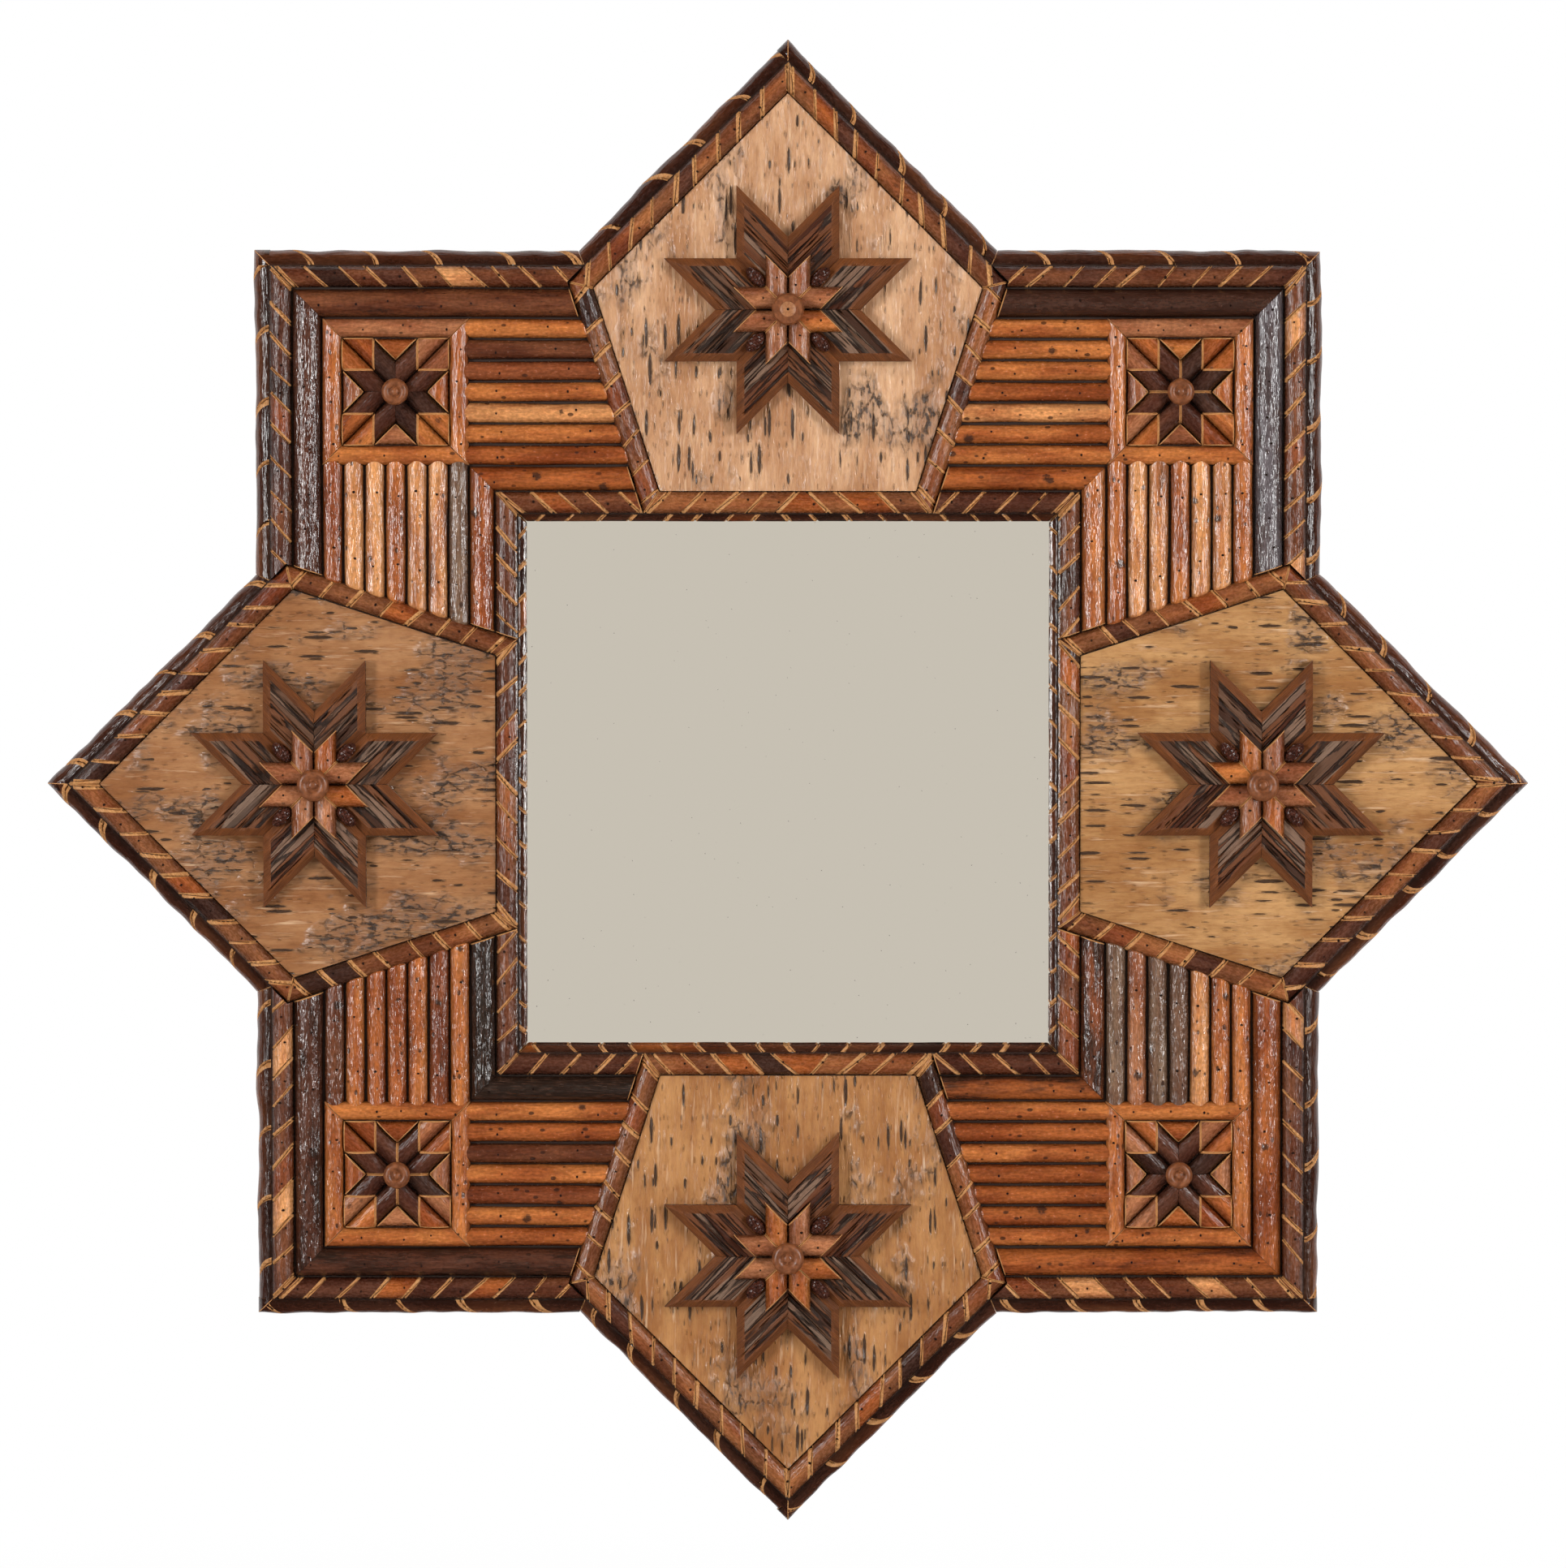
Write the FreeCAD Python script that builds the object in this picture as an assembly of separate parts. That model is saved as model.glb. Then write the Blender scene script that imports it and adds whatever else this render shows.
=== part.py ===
import FreeCAD, Part
import math
import os

from FreeCAD import Vector

# Rustic star mirror: a plywood star covered with split twigs, bark sheets and twig mosaics.
# It is drawn lying face up: x to the viewer's right, y up the wall, z out of the wall plane.
# stand_up() turns each node upright, so the mirror faces -Y and its back touches the plane y = 0.
# The origin is the centre of the star on the wall plane. All sizes are millimetres.

# Star outline
SQUARE_SIDE = 610.0           # across the edge rods
POINT_HEIGHT = 120.0          # tip of a point beyond the square's side
SHOULDER_OVERRUN = 9.5        # a point's long rods run this far past the notch
POINT_BASE_WIDTH = 165.0      # foot of a point's frame, at the mirror opening
BOARD_THICKNESS = 19.0

# Split rods and twigs: width on the board and rise above it
SEAM = 0.2                    # gap between neighbouring sticks
EDGE_ROD_RISE = 9.5
LINING_ROD_RISE = 4.5
TRIM_ROD_WIDTH = 13.0
TRIM_ROD_RISE = 6.5
BORDER_ROD_WIDTH = 17.0
BORDER_ROD_RISE = 7.5
INNER_BORDER_WIDTH = 14.5
INNER_BORDER_RISE = 6.5
FIELD_TWIG_COUNT = 7
FIELD_TWIG_RISE = 5.0

# Corner block with its mosaic star
BLOCK_SIDE = 84.0
BLOCK_TWIG_WIDTH = 11.5
BLOCK_TWIG_RISE = 5.7
MOSAIC_RISE = 5.5

# Bark sheet and layered star on each point
BARK_THICKNESS = 2.0
STAR_ABOVE_FOOT = 103.0       # star centre above the inner edge of the point's foot rod
LARGE_PETAL_SIDE = 41.5
LARGE_PETAL_THICKNESS = 10.0
LARGE_PETAL_BEVEL = 4.5
SMALL_PETAL_SIDE = 18.5
SMALL_PETAL_RISE = 5.5

# Seed cups in the middle of the stars and cones in the large stars' valleys
CAP_DIAMETER = 17.5
CAP_HEIGHT = 7.0
CAP_NUB_DIAMETER = 5.0
CAP_DIP = 1.6                 # hollow ring round the nub
CONE_LENGTH = 13.0
CONE_DIAMETER = 7.0
CONE_SEAT_GAP = 0.1
CONE_SCALES_ROUND = 12        # scales in one ring
CONE_SCALE_RINGS = 8

# Mirror glass, its card and the panel that holds them in from behind
GLASS_THICKNESS = 3.0
GLASS_EDGE_GAP = 1.6
GLASS_STOP_GAP = 0.2
CARD_THICKNESS = 2.0
BACK_PANEL_THICKNESS = 3.0
BACK_PANEL_LAP = 18.0         # how far the panel laps the board round the opening

# Round-head wood screws
SCREW_SHANK_DIAMETER = 3.5
SCREW_LENGTH = 12.0           # under the head
SCREW_TIP_LENGTH = 3.0
SCREW_TIP_DIAMETER = 0.8
SCREW_HEAD_DIAMETER = 7.0
SCREW_HEAD_HEIGHT = 1.8
SCREW_HOLE_GAP = 0.1

# Strap hangers with swinging rings, and wall bumpers
HANGER_SIDE_INSET = 80.5      # ring centres from the board's upright square edges
HANGER_TOP_INSET = 90.5       # ring axes from the board's top square edge
STRAP_WIDTH = 12.0
STRAP_LENGTH = 40.0           # below the ring's axis
STRAP_THICKNESS = 1.2
STRAP_FIRST_SCREW = 19.5      # below the ring's axis
STRAP_SCREW_PITCH = 14.0
RING_WIRE_DIAMETER = 3.0
RING_WIDTH = 20.0             # between the wire's centre lines
RING_CORNER_RADIUS = 3.0
RING_LOOP_GAP = 0.1
RING_STRAP_GAP = 0.3
BUMPER_DIAMETER = 18.0
BUMPER_TIP_DIAMETER = 14.0
BUMPER_HEIGHT = 8.0
BUMPER_INSET = 30.0           # from the board's square edges

# Outline of the board, worked inwards from the outside of the edge rods
board_half = SQUARE_SIDE / 2 - EDGE_ROD_RISE
board_tip = SQUARE_SIDE / 2 + POINT_HEIGHT - EDGE_ROD_RISE * math.sqrt(2)
notch = board_tip - board_half

# Bands of the corner mosaic, as distances from the star's centre
trim_inside = board_half - TRIM_ROD_WIDTH
block_outside = trim_inside - BORDER_ROD_WIDTH
block_inside = block_outside - BLOCK_SIDE
inner_border_inside = block_inside - INNER_BORDER_WIDTH
opening_half = inner_border_inside - TRIM_ROD_WIDTH
block_centre = (block_outside + block_inside) / 2

# Places of the hanger rings behind the upper corners
hanger_reach = board_half - HANGER_SIDE_INSET
hanger_level = board_half - HANGER_TOP_INSET

# Heights above the wall plane
board_back = BUMPER_HEIGHT
board_front = board_back + BOARD_THICKNESS
glass_back = board_back + CARD_THICKNESS
lining_back = glass_back + GLASS_THICKNESS + GLASS_STOP_GAP
large_star_base = board_front + BARK_THICKNESS
small_star_base = large_star_base + LARGE_PETAL_THICKNESS

# Frame of the top point, and the star inside it
shoulder = notch + SHOULDER_OVERRUN
foot_half = POINT_BASE_WIDTH / 2
point_outline = [
    (0.0, board_tip),
    (-shoulder, board_tip - shoulder),
    (-foot_half, opening_half),
    (foot_half, opening_half),
    (shoulder, board_tip - shoulder),
]
star_centre = inner_border_inside + STAR_ABOVE_FOOT

POINTS = ["top", "right", "bottom", "left"]
CORNERS = ["top_left", "top_right", "bottom_right", "bottom_left"]
ORIGIN = Vector(0, 0, 0)
UPWARD = Vector(0, 0, 1)
LEFT_DIAGONAL = (-1.0, 1.0)
UP_THE_WALL = (0.0, 1.0)
TO_THE_RIGHT = (1.0, 0.0)


def square(half):
    """Corners of a centred square, counter-clockwise from the top left."""
    return [(-half, half), (-half, -half), (half, -half), (half, half)]


def inset(outline, distance):
    """Counter-clockwise outline with every side moved inwards, or outwards by a negative distance."""
    moved = []
    for index, (x, y) in enumerate(outline):
        before = outline[index - 1]
        after = outline[(index + 1) % len(outline)]
        arriving = Vector(x - before[0], y - before[1], 0).normalize()
        leaving = Vector(after[0] - x, after[1] - y, 0).normalize()
        shift = Vector(-arriving.y - leaving.y, arriving.x + leaving.x, 0)
        shift = shift * (distance / (1 + arriving.dot(leaving)))
        moved.append((x + shift.x, y + shift.y))
    return moved


def mitred_sides(outline, width):
    """Outlines of the mitred strips between an outline and its inset copy, one per side."""
    inner = inset(outline, width)
    strips = []
    for index in range(len(outline)):
        following = (index + 1) % len(outline)
        strips.append([outline[index], outline[following], inner[following], inner[index]])
    return strips


def prism(outline, low, high):
    """Straight-sided solid over an outline, between two heights."""
    corners = [Vector(x, y, low) for x, y in outline]
    face = Part.Face(Part.makePolygon(corners + corners[:1]))
    return face.extrude(Vector(0, 0, high - low))


def arched_bar(left, right, crest, run):
    """Long bar with an arched section through three points, extruded along a run."""
    arch = Part.Arc(left, crest, right).toShape()
    section = Part.Face(Part.Wire([arch, Part.makeLine(right, left)]))
    return section.extrude(run)


def half_round(outline, direction, rise, base):
    """Split stick lying flat: arched across its grain and sawn off square to the board at its outline."""
    along = Vector(direction[0], direction[1], 0).normalize()
    across = Vector(-along.y, along.x, 0)
    corners = [Vector(x, y, 0) for x, y in outline]
    runs = [corner.dot(along) for corner in corners]
    spans = [corner.dot(across) for corner in corners]
    start = along * min(runs) + UPWARD * base
    left = start + across * max(spans)
    right = start + across * min(spans)
    crest = (left + right) * 0.5 + UPWARD * rise
    bar = arched_bar(left, right, crest, along * (max(runs) - min(runs)))
    return bar.common(prism(outline, base, base + rise))


def side_round(outline, low, high):
    """Split stick on a board's edge: its flat lies on the outline's first side and its arch faces away."""
    start = Vector(outline[0][0], outline[0][1], 0)
    end = Vector(outline[1][0], outline[1][1], 0)
    along = (end - start).normalize()
    corners = [Vector(x, y, 0) - start for x, y in outline]
    runs = [corner.dot(along) for corner in corners]
    crest_corner = corners[2]
    rise = crest_corner - along * crest_corner.dot(along)
    first = start + along * min(runs)
    crest = first + rise + UPWARD * ((low + high) / 2)
    bar = arched_bar(first + UPWARD * low, first + UPWARD * high, crest, along * (max(runs) - min(runs)))
    return bar.common(prism(outline, low, high))


def across_diagonal(shapes):
    """Copies of the top-left corner's pieces, mirrored in the corner's mitre line."""
    return [shape.mirror(ORIGIN, Vector(1, 1, 0)) for shape in shapes]


def left_right(shapes):
    """The shapes and their mirror images in the vertical centre line."""
    return shapes + [shape.mirror(ORIGIN, Vector(1, 0, 0)) for shape in shapes]


def quarter_turned(shapes, turns):
    """Copies turned clockwise about the star's centre by quarter turns."""
    return [shape.rotated(ORIGIN, UPWARD, -90.0 * turns) for shape in shapes]


def all_round(shapes):
    """Copies of the shapes in all four quarters."""
    copies = []
    for turns in range(4):
        copies += quarter_turned(shapes, turns)
    return copies


def moved(shapes, x, y):
    """Copies of the shapes moved in the plane of the board."""
    return [shape.translated(Vector(x, y, 0)) for shape in shapes]


def stand_up(shapes):
    """One upright compound: up the wall becomes +Z and out of the wall becomes -Y."""
    return Part.makeCompound(shapes).rotated(ORIGIN, Vector(1, 0, 0), 90.0)


def star_board_outline():
    """Outline of the board, counter-clockwise from the top tip."""
    quarter = [(0.0, board_tip), (-notch, board_half), (-board_half, board_half), (-board_half, notch)]
    outline = []
    for turns in range(4):
        for x, y in quarter:
            for _ in range(turns):
                x, y = -y, x
            outline.append((x, y))
    return outline


def screw_places():
    """Places and seat heights of the screws: round the back panel, then on the two straps."""
    ring = opening_half + BACK_PANEL_LAP / 2
    panel_seat = board_back - BACK_PANEL_THICKNESS
    places = []
    for x in (-ring, 0.0, ring):
        for y in (-ring, 0.0, ring):
            if x or y:
                places.append(Vector(x, y, panel_seat))
    for side in (-1, 1):
        for step in range(2):
            y = hanger_level - STRAP_FIRST_SCREW - step * STRAP_SCREW_PITCH
            places.append(Vector(side * hanger_reach, y, board_back - STRAP_THICKNESS))
    return places


def screw_holes():
    """Drilled holes, one round each screw's shank."""
    radius = SCREW_SHANK_DIAMETER / 2 + SCREW_HOLE_GAP
    depth = SCREW_LENGTH + SCREW_HOLE_GAP
    return Part.makeCompound([Part.makeCylinder(radius, depth, place, UPWARD) for place in screw_places()])


def backing_board():
    """Plywood star with the square opening for the glass and the pilot holes."""
    board = prism(star_board_outline(), board_back, board_front)
    board = board.cut(prism(square(opening_half), board_back, board_front))
    return [board.cut(screw_holes())]


def mirror_glass():
    """Square glass tile, held behind the lining rods."""
    half = opening_half - GLASS_EDGE_GAP
    return [prism(square(half), glass_back, glass_back + GLASS_THICKNESS)]


def packing_card():
    """Card between the glass and the back panel."""
    half = opening_half - GLASS_EDGE_GAP
    return [prism(square(half), board_back, glass_back)]


def back_panel():
    """Hardboard panel screwed on behind the opening."""
    half = opening_half + BACK_PANEL_LAP
    panel = prism(square(half), board_back - BACK_PANEL_THICKNESS, board_back)
    return [panel.cut(screw_holes())]


def back_screws():
    """Round-head screws, heads towards the wall."""
    head = SCREW_HEAD_DIAMETER / 2
    shank = SCREW_SHANK_DIAMETER / 2
    tip = SCREW_TIP_DIAMETER / 2
    dome_radius = (head ** 2 + SCREW_HEAD_HEIGHT ** 2) / (2 * SCREW_HEAD_HEIGHT)
    half_angle = math.asin(head / dome_radius) / 2
    crown = Vector(0, 0, -SCREW_HEAD_HEIGHT)
    rim = Vector(head, 0, 0)
    flank = crown + Vector(math.sin(half_angle), 0, 1 - math.cos(half_angle)) * dome_radius
    dome = Part.Arc(crown, flank, rim).toShape()
    rest = Part.makePolygon([
        rim,
        Vector(shank, 0, 0),
        Vector(shank, 0, SCREW_LENGTH - SCREW_TIP_LENGTH),
        Vector(tip, 0, SCREW_LENGTH),
        Vector(0, 0, SCREW_LENGTH),
        crown,
    ])
    screw = Part.Face(Part.Wire([dome] + rest.Edges)).revolve(ORIGIN, UPWARD, 360)
    return [screw.translated(place) for place in screw_places()]


def ring_axis_height():
    """Height of a hanger ring's axis above the wall plane."""
    return board_back - STRAP_THICKNESS - RING_STRAP_GAP - RING_WIRE_DIAMETER / 2


def hanger_straps():
    """Two steel straps, each curled into a loop round its ring's straight bar."""
    bore = RING_WIRE_DIAMETER / 2 + RING_LOOP_GAP
    loop = bore + STRAP_THICKNESS
    sideways = Vector(1, 0, 0)
    straps = []
    for side in (-1, 1):
        left = side * hanger_reach - STRAP_WIDTH / 2
        low_corner = Vector(left, hanger_level - STRAP_LENGTH, board_back - STRAP_THICKNESS)
        axis_end = Vector(left, hanger_level, ring_axis_height())
        strap = Part.makeBox(STRAP_WIDTH, STRAP_LENGTH, STRAP_THICKNESS, low_corner)
        strap = strap.fuse(Part.makeCylinder(loop, STRAP_WIDTH, axis_end, sideways))
        strap = strap.cut(Part.makeCylinder(bore, STRAP_WIDTH, axis_end, sideways))
        straps.append(strap.cut(screw_holes()).removeSplitter())
    return straps


def hanger_ring(side):
    """Wire ring in a D shape, hanging from its straight bar inside the strap's loop."""
    wire = RING_WIRE_DIAMETER / 2
    half = RING_WIDTH / 2
    bar_half = half - RING_CORNER_RADIUS
    bend = RING_CORNER_RADIUS
    facing = UPWARD
    bar = Part.makeCylinder(wire, 2 * bar_half, Vector(-bar_half, 0, 0), Vector(1, 0, 0))
    right_bend = Part.makeTorus(bend, wire, Vector(bar_half, -bend, 0), facing, 0, 360, 90)
    left_bend = right_bend.mirror(ORIGIN, Vector(1, 0, 0))
    bow = Part.makeTorus(half, wire, ORIGIN, facing, 0, 360, 180)
    bow = bow.rotated(ORIGIN, facing, 180).translated(Vector(0, -bend, 0))
    ring = bar.fuse([right_bend, left_bend, bow])
    return [ring.translated(Vector(side * hanger_reach, hanger_level, ring_axis_height()))]


def wall_bumpers():
    """Four soft feet that hold the lower and upper corners off the wall."""
    reach = board_half - BUMPER_INSET
    bumper = Part.makeCone(BUMPER_TIP_DIAMETER / 2, BUMPER_DIAMETER / 2, BUMPER_HEIGHT)
    return all_round(moved([bumper], -reach, reach))


def edge_rods():
    """Rods on the board's edge: one arm of the top-left corner and one side of the top point."""
    outside = star_board_outline()
    strips = mitred_sides(outside, -EDGE_ROD_RISE)
    point_side = side_round(strips[0], board_back, board_front)
    corner_arm = side_round(strips[1], board_back, board_front)
    return [corner_arm] + across_diagonal([corner_arm]), left_right([point_side])


def lining_rods():
    """Rods on the opening's walls, which cover the glass edge and stop the glass."""
    strips = mitred_sides(square(opening_half), LINING_ROD_RISE)
    return [side_round(strip, lining_back, board_front) for strip in strips]


def stick(outline, direction, rise, base):
    """Split stick on a plan outline, with half a seam left free all round it."""
    return half_round(inset(outline, SEAM / 2), direction, rise, base)


def beside_point(shape):
    """Shape of the corner mosaic, sawn off along the top point's frame."""
    return shape.cut(prism(inset(point_outline, -SEAM / 2), board_back, small_star_base))


def corner_band(outside, inside, rise):
    """Two mitred rods of the top-left corner, between two distances from the star's centre."""
    outline = [(-outside, outside), (-inside, inside), (0.0, inside), (0.0, outside)]
    arm = beside_point(stick(outline, TO_THE_RIGHT, rise, board_front))
    return [arm] + across_diagonal([arm])


def trim_rods():
    """Slender rods of the top-left corner, along the outer edge and along the mirror."""
    outer = corner_band(board_half, trim_inside, TRIM_ROD_RISE)
    inner = corner_band(inner_border_inside, opening_half, TRIM_ROD_RISE)
    return outer + inner


def border_rods():
    """Broad rods of the top-left corner, outside and inside the twig fields."""
    outer = corner_band(trim_inside, block_outside, BORDER_ROD_RISE)
    inner = corner_band(block_inside, inner_border_inside, INNER_BORDER_RISE)
    return outer + inner


def twig_fields():
    """Parallel twigs beside and below the top-left block, coped over the block's frame."""
    frame_left = -block_inside - BLOCK_TWIG_WIDTH
    frame_side = [
        (frame_left, block_outside),
        (frame_left, block_inside),
        (-block_inside, block_inside),
        (-block_inside, block_outside),
    ]
    cope = half_round(inset(frame_side, -SEAM / 2), UP_THE_WALL, BLOCK_TWIG_RISE + SEAM, board_front)
    pitch = BLOCK_SIDE / FIELD_TWIG_COUNT
    start = -block_inside - BLOCK_TWIG_WIDTH / 2
    twigs = []
    for row in range(FIELD_TWIG_COUNT):
        top = block_outside - row * pitch
        outline = [(start, top), (start, top - pitch), (0.0, top - pitch), (0.0, top)]
        twig = stick(outline, TO_THE_RIGHT, FIELD_TWIG_RISE, board_front)
        twigs.append(beside_point(twig.cut(cope)))
    return twigs + across_diagonal(twigs)


def block_frame():
    """Four mitred twigs round the top-left block."""
    strips = mitred_sides(square(BLOCK_SIDE / 2), BLOCK_TWIG_WIDTH)
    sides = []
    for strip in strips:
        direction = (strip[1][0] - strip[0][0], strip[1][1] - strip[0][1])
        sides.append(stick(strip, direction, BLOCK_TWIG_RISE, board_front))
    return moved(sides, -block_centre, block_centre)


def petal_outline(side):
    """Rhombus left of the upright axis of an eight-petal star."""
    slant = side / math.sqrt(2)
    return [(0.0, 0.0), (0.0, side), (-slant, side + slant), (-slant, slant)]


def mosaic_petal_side():
    """Side of the rhombus that makes the block's star fill the block's frame."""
    return (BLOCK_SIDE - 2 * BLOCK_TWIG_WIDTH) / (2 + math.sqrt(2))


def corner_star_petals():
    """Eight half-round petals of the top-left block's star."""
    petal = stick(petal_outline(mosaic_petal_side()), LEFT_DIAGONAL, MOSAIC_RISE, board_front)
    return moved(all_round(left_right([petal])), -block_centre, block_centre)


def corner_star_fillers():
    """Triangles that fill the block round its star: one per side and two per corner."""
    side = mosaic_petal_side()
    slant = side / math.sqrt(2)
    reach = side + slant
    side_outline = [(0.0, side), (slant, reach), (-slant, reach)]
    side_filler = stick(side_outline, TO_THE_RIGHT, MOSAIC_RISE, board_front)
    corner_outline = [(-slant, slant), (-slant, reach), (-reach, reach)]
    corner_filler = stick(corner_outline, LEFT_DIAGONAL, MOSAIC_RISE, board_front)
    quarter = [side_filler, corner_filler] + across_diagonal([corner_filler])
    return moved(all_round(quarter), -block_centre, block_centre)


def bark_panel():
    """Bark sheet inside the top point's frame."""
    outline = inset(point_outline, TRIM_ROD_WIDTH + SEAM / 2)
    return [prism(outline, board_front, board_front + BARK_THICKNESS)]


def point_frame_rods():
    """Five mitred rods round the top point's bark sheet."""
    rods = []
    for strip in mitred_sides(point_outline, TRIM_ROD_WIDTH):
        direction = (strip[1][0] - strip[0][0], strip[1][1] - strip[0][1])
        rods.append(stick(strip, direction, TRIM_ROD_RISE, board_front))
    return rods


def large_star():
    """Eight thick petals on the top point, bevelled except along the joint in each pair."""
    top = large_star_base + LARGE_PETAL_THICKNESS
    petal = prism(inset(petal_outline(LARGE_PETAL_SIDE), SEAM / 2), large_star_base, top)
    bevelled = []
    for edge in petal.Edges:
        middle = edge.CenterOfMass
        if middle.z > top - LARGE_PETAL_BEVEL / 2 and abs(middle.x) > SEAM:
            bevelled.append(edge)
    petal = petal.makeChamfer(LARGE_PETAL_BEVEL, bevelled)
    return moved(all_round(left_right([petal])), 0, star_centre)


def small_star():
    """Eight half-round petals on top of the top point's large star."""
    petal = stick(petal_outline(SMALL_PETAL_SIDE), UP_THE_WALL, SMALL_PETAL_RISE, small_star_base)
    return moved(all_round(left_right([petal])), 0, star_centre)


def star_cap(base):
    """Seed cup: a round-shouldered button with a hollow ring round a nub."""
    radius = CAP_DIAMETER / 2
    nub = CAP_NUB_DIAMETER / 2
    crest = (radius + nub) / 2
    lower_rim = Vector(crest, 0, 0)
    waist = Vector(radius, 0, CAP_HEIGHT / 2)
    crown = Vector(crest, 0, CAP_HEIGHT)
    dip = Vector((crest + nub) / 2, 0, CAP_HEIGHT - CAP_DIP)
    nub_rim = Vector(nub, 0, CAP_HEIGHT - CAP_DIP / 2)
    nub_top = Vector(0, 0, CAP_HEIGHT - CAP_DIP / 2)
    edges = [
        Part.Arc(lower_rim, waist, crown).toShape(),
        Part.Arc(crown, dip, nub_rim).toShape(),
        Part.makeLine(nub_rim, nub_top),
        Part.makeLine(nub_top, ORIGIN),
        Part.makeLine(ORIGIN, lower_rim),
    ]
    cap = Part.Face(Part.Wire(edges)).revolve(ORIGIN, UPWARD, 360)
    return cap.translated(Vector(0, 0, base))


def star_caps():
    """Caps on the point stars and the corner stars."""
    point_cap = star_cap(small_star_base + SMALL_PETAL_RISE)
    corner_cap = star_cap(board_front + MOSAIC_RISE)
    first_caps = moved([point_cap], 0, star_centre) + moved([corner_cap], -block_centre, block_centre)
    return all_round(first_caps)


def seed_cone():
    """Oval cone along x, with a flat facet for each scale."""
    rings = []
    for ring in range(CONE_SCALE_RINGS + 1):
        angle = math.pi * (ring + 0.5) / (CONE_SCALE_RINGS + 1)
        x = -CONE_LENGTH / 2 * math.cos(angle)
        radius = CONE_DIAMETER / 2 * math.sin(angle)
        corners = []
        for scale in range(CONE_SCALES_ROUND + 1):
            turn = 2 * math.pi * scale / CONE_SCALES_ROUND
            corners.append(Vector(x, radius * math.cos(turn), radius * math.sin(turn)))
        rings.append(Part.makePolygon(corners))
    return Part.makeLoft(rings, True, True)


def seed_cones():
    """Small cones lying in the large stars' diagonal valleys, outside the small petals."""
    half = CONE_LENGTH / 2
    radius = CONE_DIAMETER / 2
    reach_to_petals = math.sqrt((half ** 2 + radius ** 2) / 2) + SEAM
    distance = SMALL_PETAL_SIDE + reach_to_petals * math.sqrt(2)
    valley = small_star_base - LARGE_PETAL_BEVEL
    height = valley + radius * math.sqrt(2) + CONE_SEAT_GAP
    cone = seed_cone().translated(Vector(distance, 0, height)).rotated(ORIGIN, UPWARD, 45)
    return all_round(moved(all_round([cone]), 0, star_centre))


def corner_groups():
    """Pieces of the top-left corner by node name."""
    corner_edge_rods, _ = edge_rods()
    return {
        "edge_rods": corner_edge_rods,
        "trim_rods": trim_rods(),
        "border_rods": border_rods(),
        "twig_fields": twig_fields(),
        "block_frame": block_frame(),
        "corner_star_petals": corner_star_petals(),
        "corner_star_fillers": corner_star_fillers(),
    }


def point_groups():
    """Pieces of the top point by node name."""
    _, point_edge_rods = edge_rods()
    return {
        "bark_panel": bark_panel(),
        "point_frame_rods": point_frame_rods(),
        "point_edge_rods": point_edge_rods,
        "large_star": large_star(),
        "small_star": small_star(),
    }


def all_nodes():
    """Every node of the mirror, still lying face up."""
    nodes = {
        "backing_board": backing_board(),
        "mirror_glass": mirror_glass(),
        "packing_card": packing_card(),
        "back_panel": back_panel(),
        "back_screws": back_screws(),
        "hanger_straps": hanger_straps(),
        "hanger_ring_left": hanger_ring(-1),
        "hanger_ring_right": hanger_ring(1),
        "wall_bumpers": wall_bumpers(),
        "lining_rods": lining_rods(),
        "star_caps": star_caps(),
        "seed_cones": seed_cones(),
    }
    for groups, places in ((corner_groups(), CORNERS), (point_groups(), POINTS)):
        for name, shapes in groups.items():
            for turns, place in enumerate(places):
                nodes[f"{name}_{place}"] = quarter_turned(shapes, turns)
    return nodes


os.makedirs("parts", exist_ok=True)
for node, shapes in all_nodes().items():
    stand_up(shapes).exportStep(f"parts/{node}.step")
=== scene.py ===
"""Looks of the rustic star mirror: split twigs, bark sheets and twig mosaics round a square glass."""

from __future__ import annotations

import logging
import math
import random
from dataclasses import dataclass, field, replace
from enum import Enum, IntEnum
from functools import reduce
from typing import Callable, Optional, Sequence

import bmesh
import bpy
from mathutils import Matrix, Vector, noise

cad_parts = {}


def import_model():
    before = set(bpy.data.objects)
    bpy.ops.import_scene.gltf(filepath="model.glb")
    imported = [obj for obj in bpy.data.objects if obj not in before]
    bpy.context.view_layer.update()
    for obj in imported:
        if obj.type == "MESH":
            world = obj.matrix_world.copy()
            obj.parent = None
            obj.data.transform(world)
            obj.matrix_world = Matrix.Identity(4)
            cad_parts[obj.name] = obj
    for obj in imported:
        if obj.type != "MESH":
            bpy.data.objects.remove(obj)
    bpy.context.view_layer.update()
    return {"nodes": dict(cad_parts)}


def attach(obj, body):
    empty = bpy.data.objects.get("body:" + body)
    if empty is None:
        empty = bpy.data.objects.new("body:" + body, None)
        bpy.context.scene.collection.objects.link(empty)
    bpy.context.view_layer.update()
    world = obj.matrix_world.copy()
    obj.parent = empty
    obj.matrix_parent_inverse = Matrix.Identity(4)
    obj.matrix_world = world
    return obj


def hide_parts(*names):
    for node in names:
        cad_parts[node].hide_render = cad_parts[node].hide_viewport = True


LOG = logging.getLogger("star_mirror")

Colour = tuple[float, float, float, float]
Outline = list[Vector]
BMesh = bmesh.types.BMesh
Material = bpy.types.Material
Socket = bpy.types.NodeSocket

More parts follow.
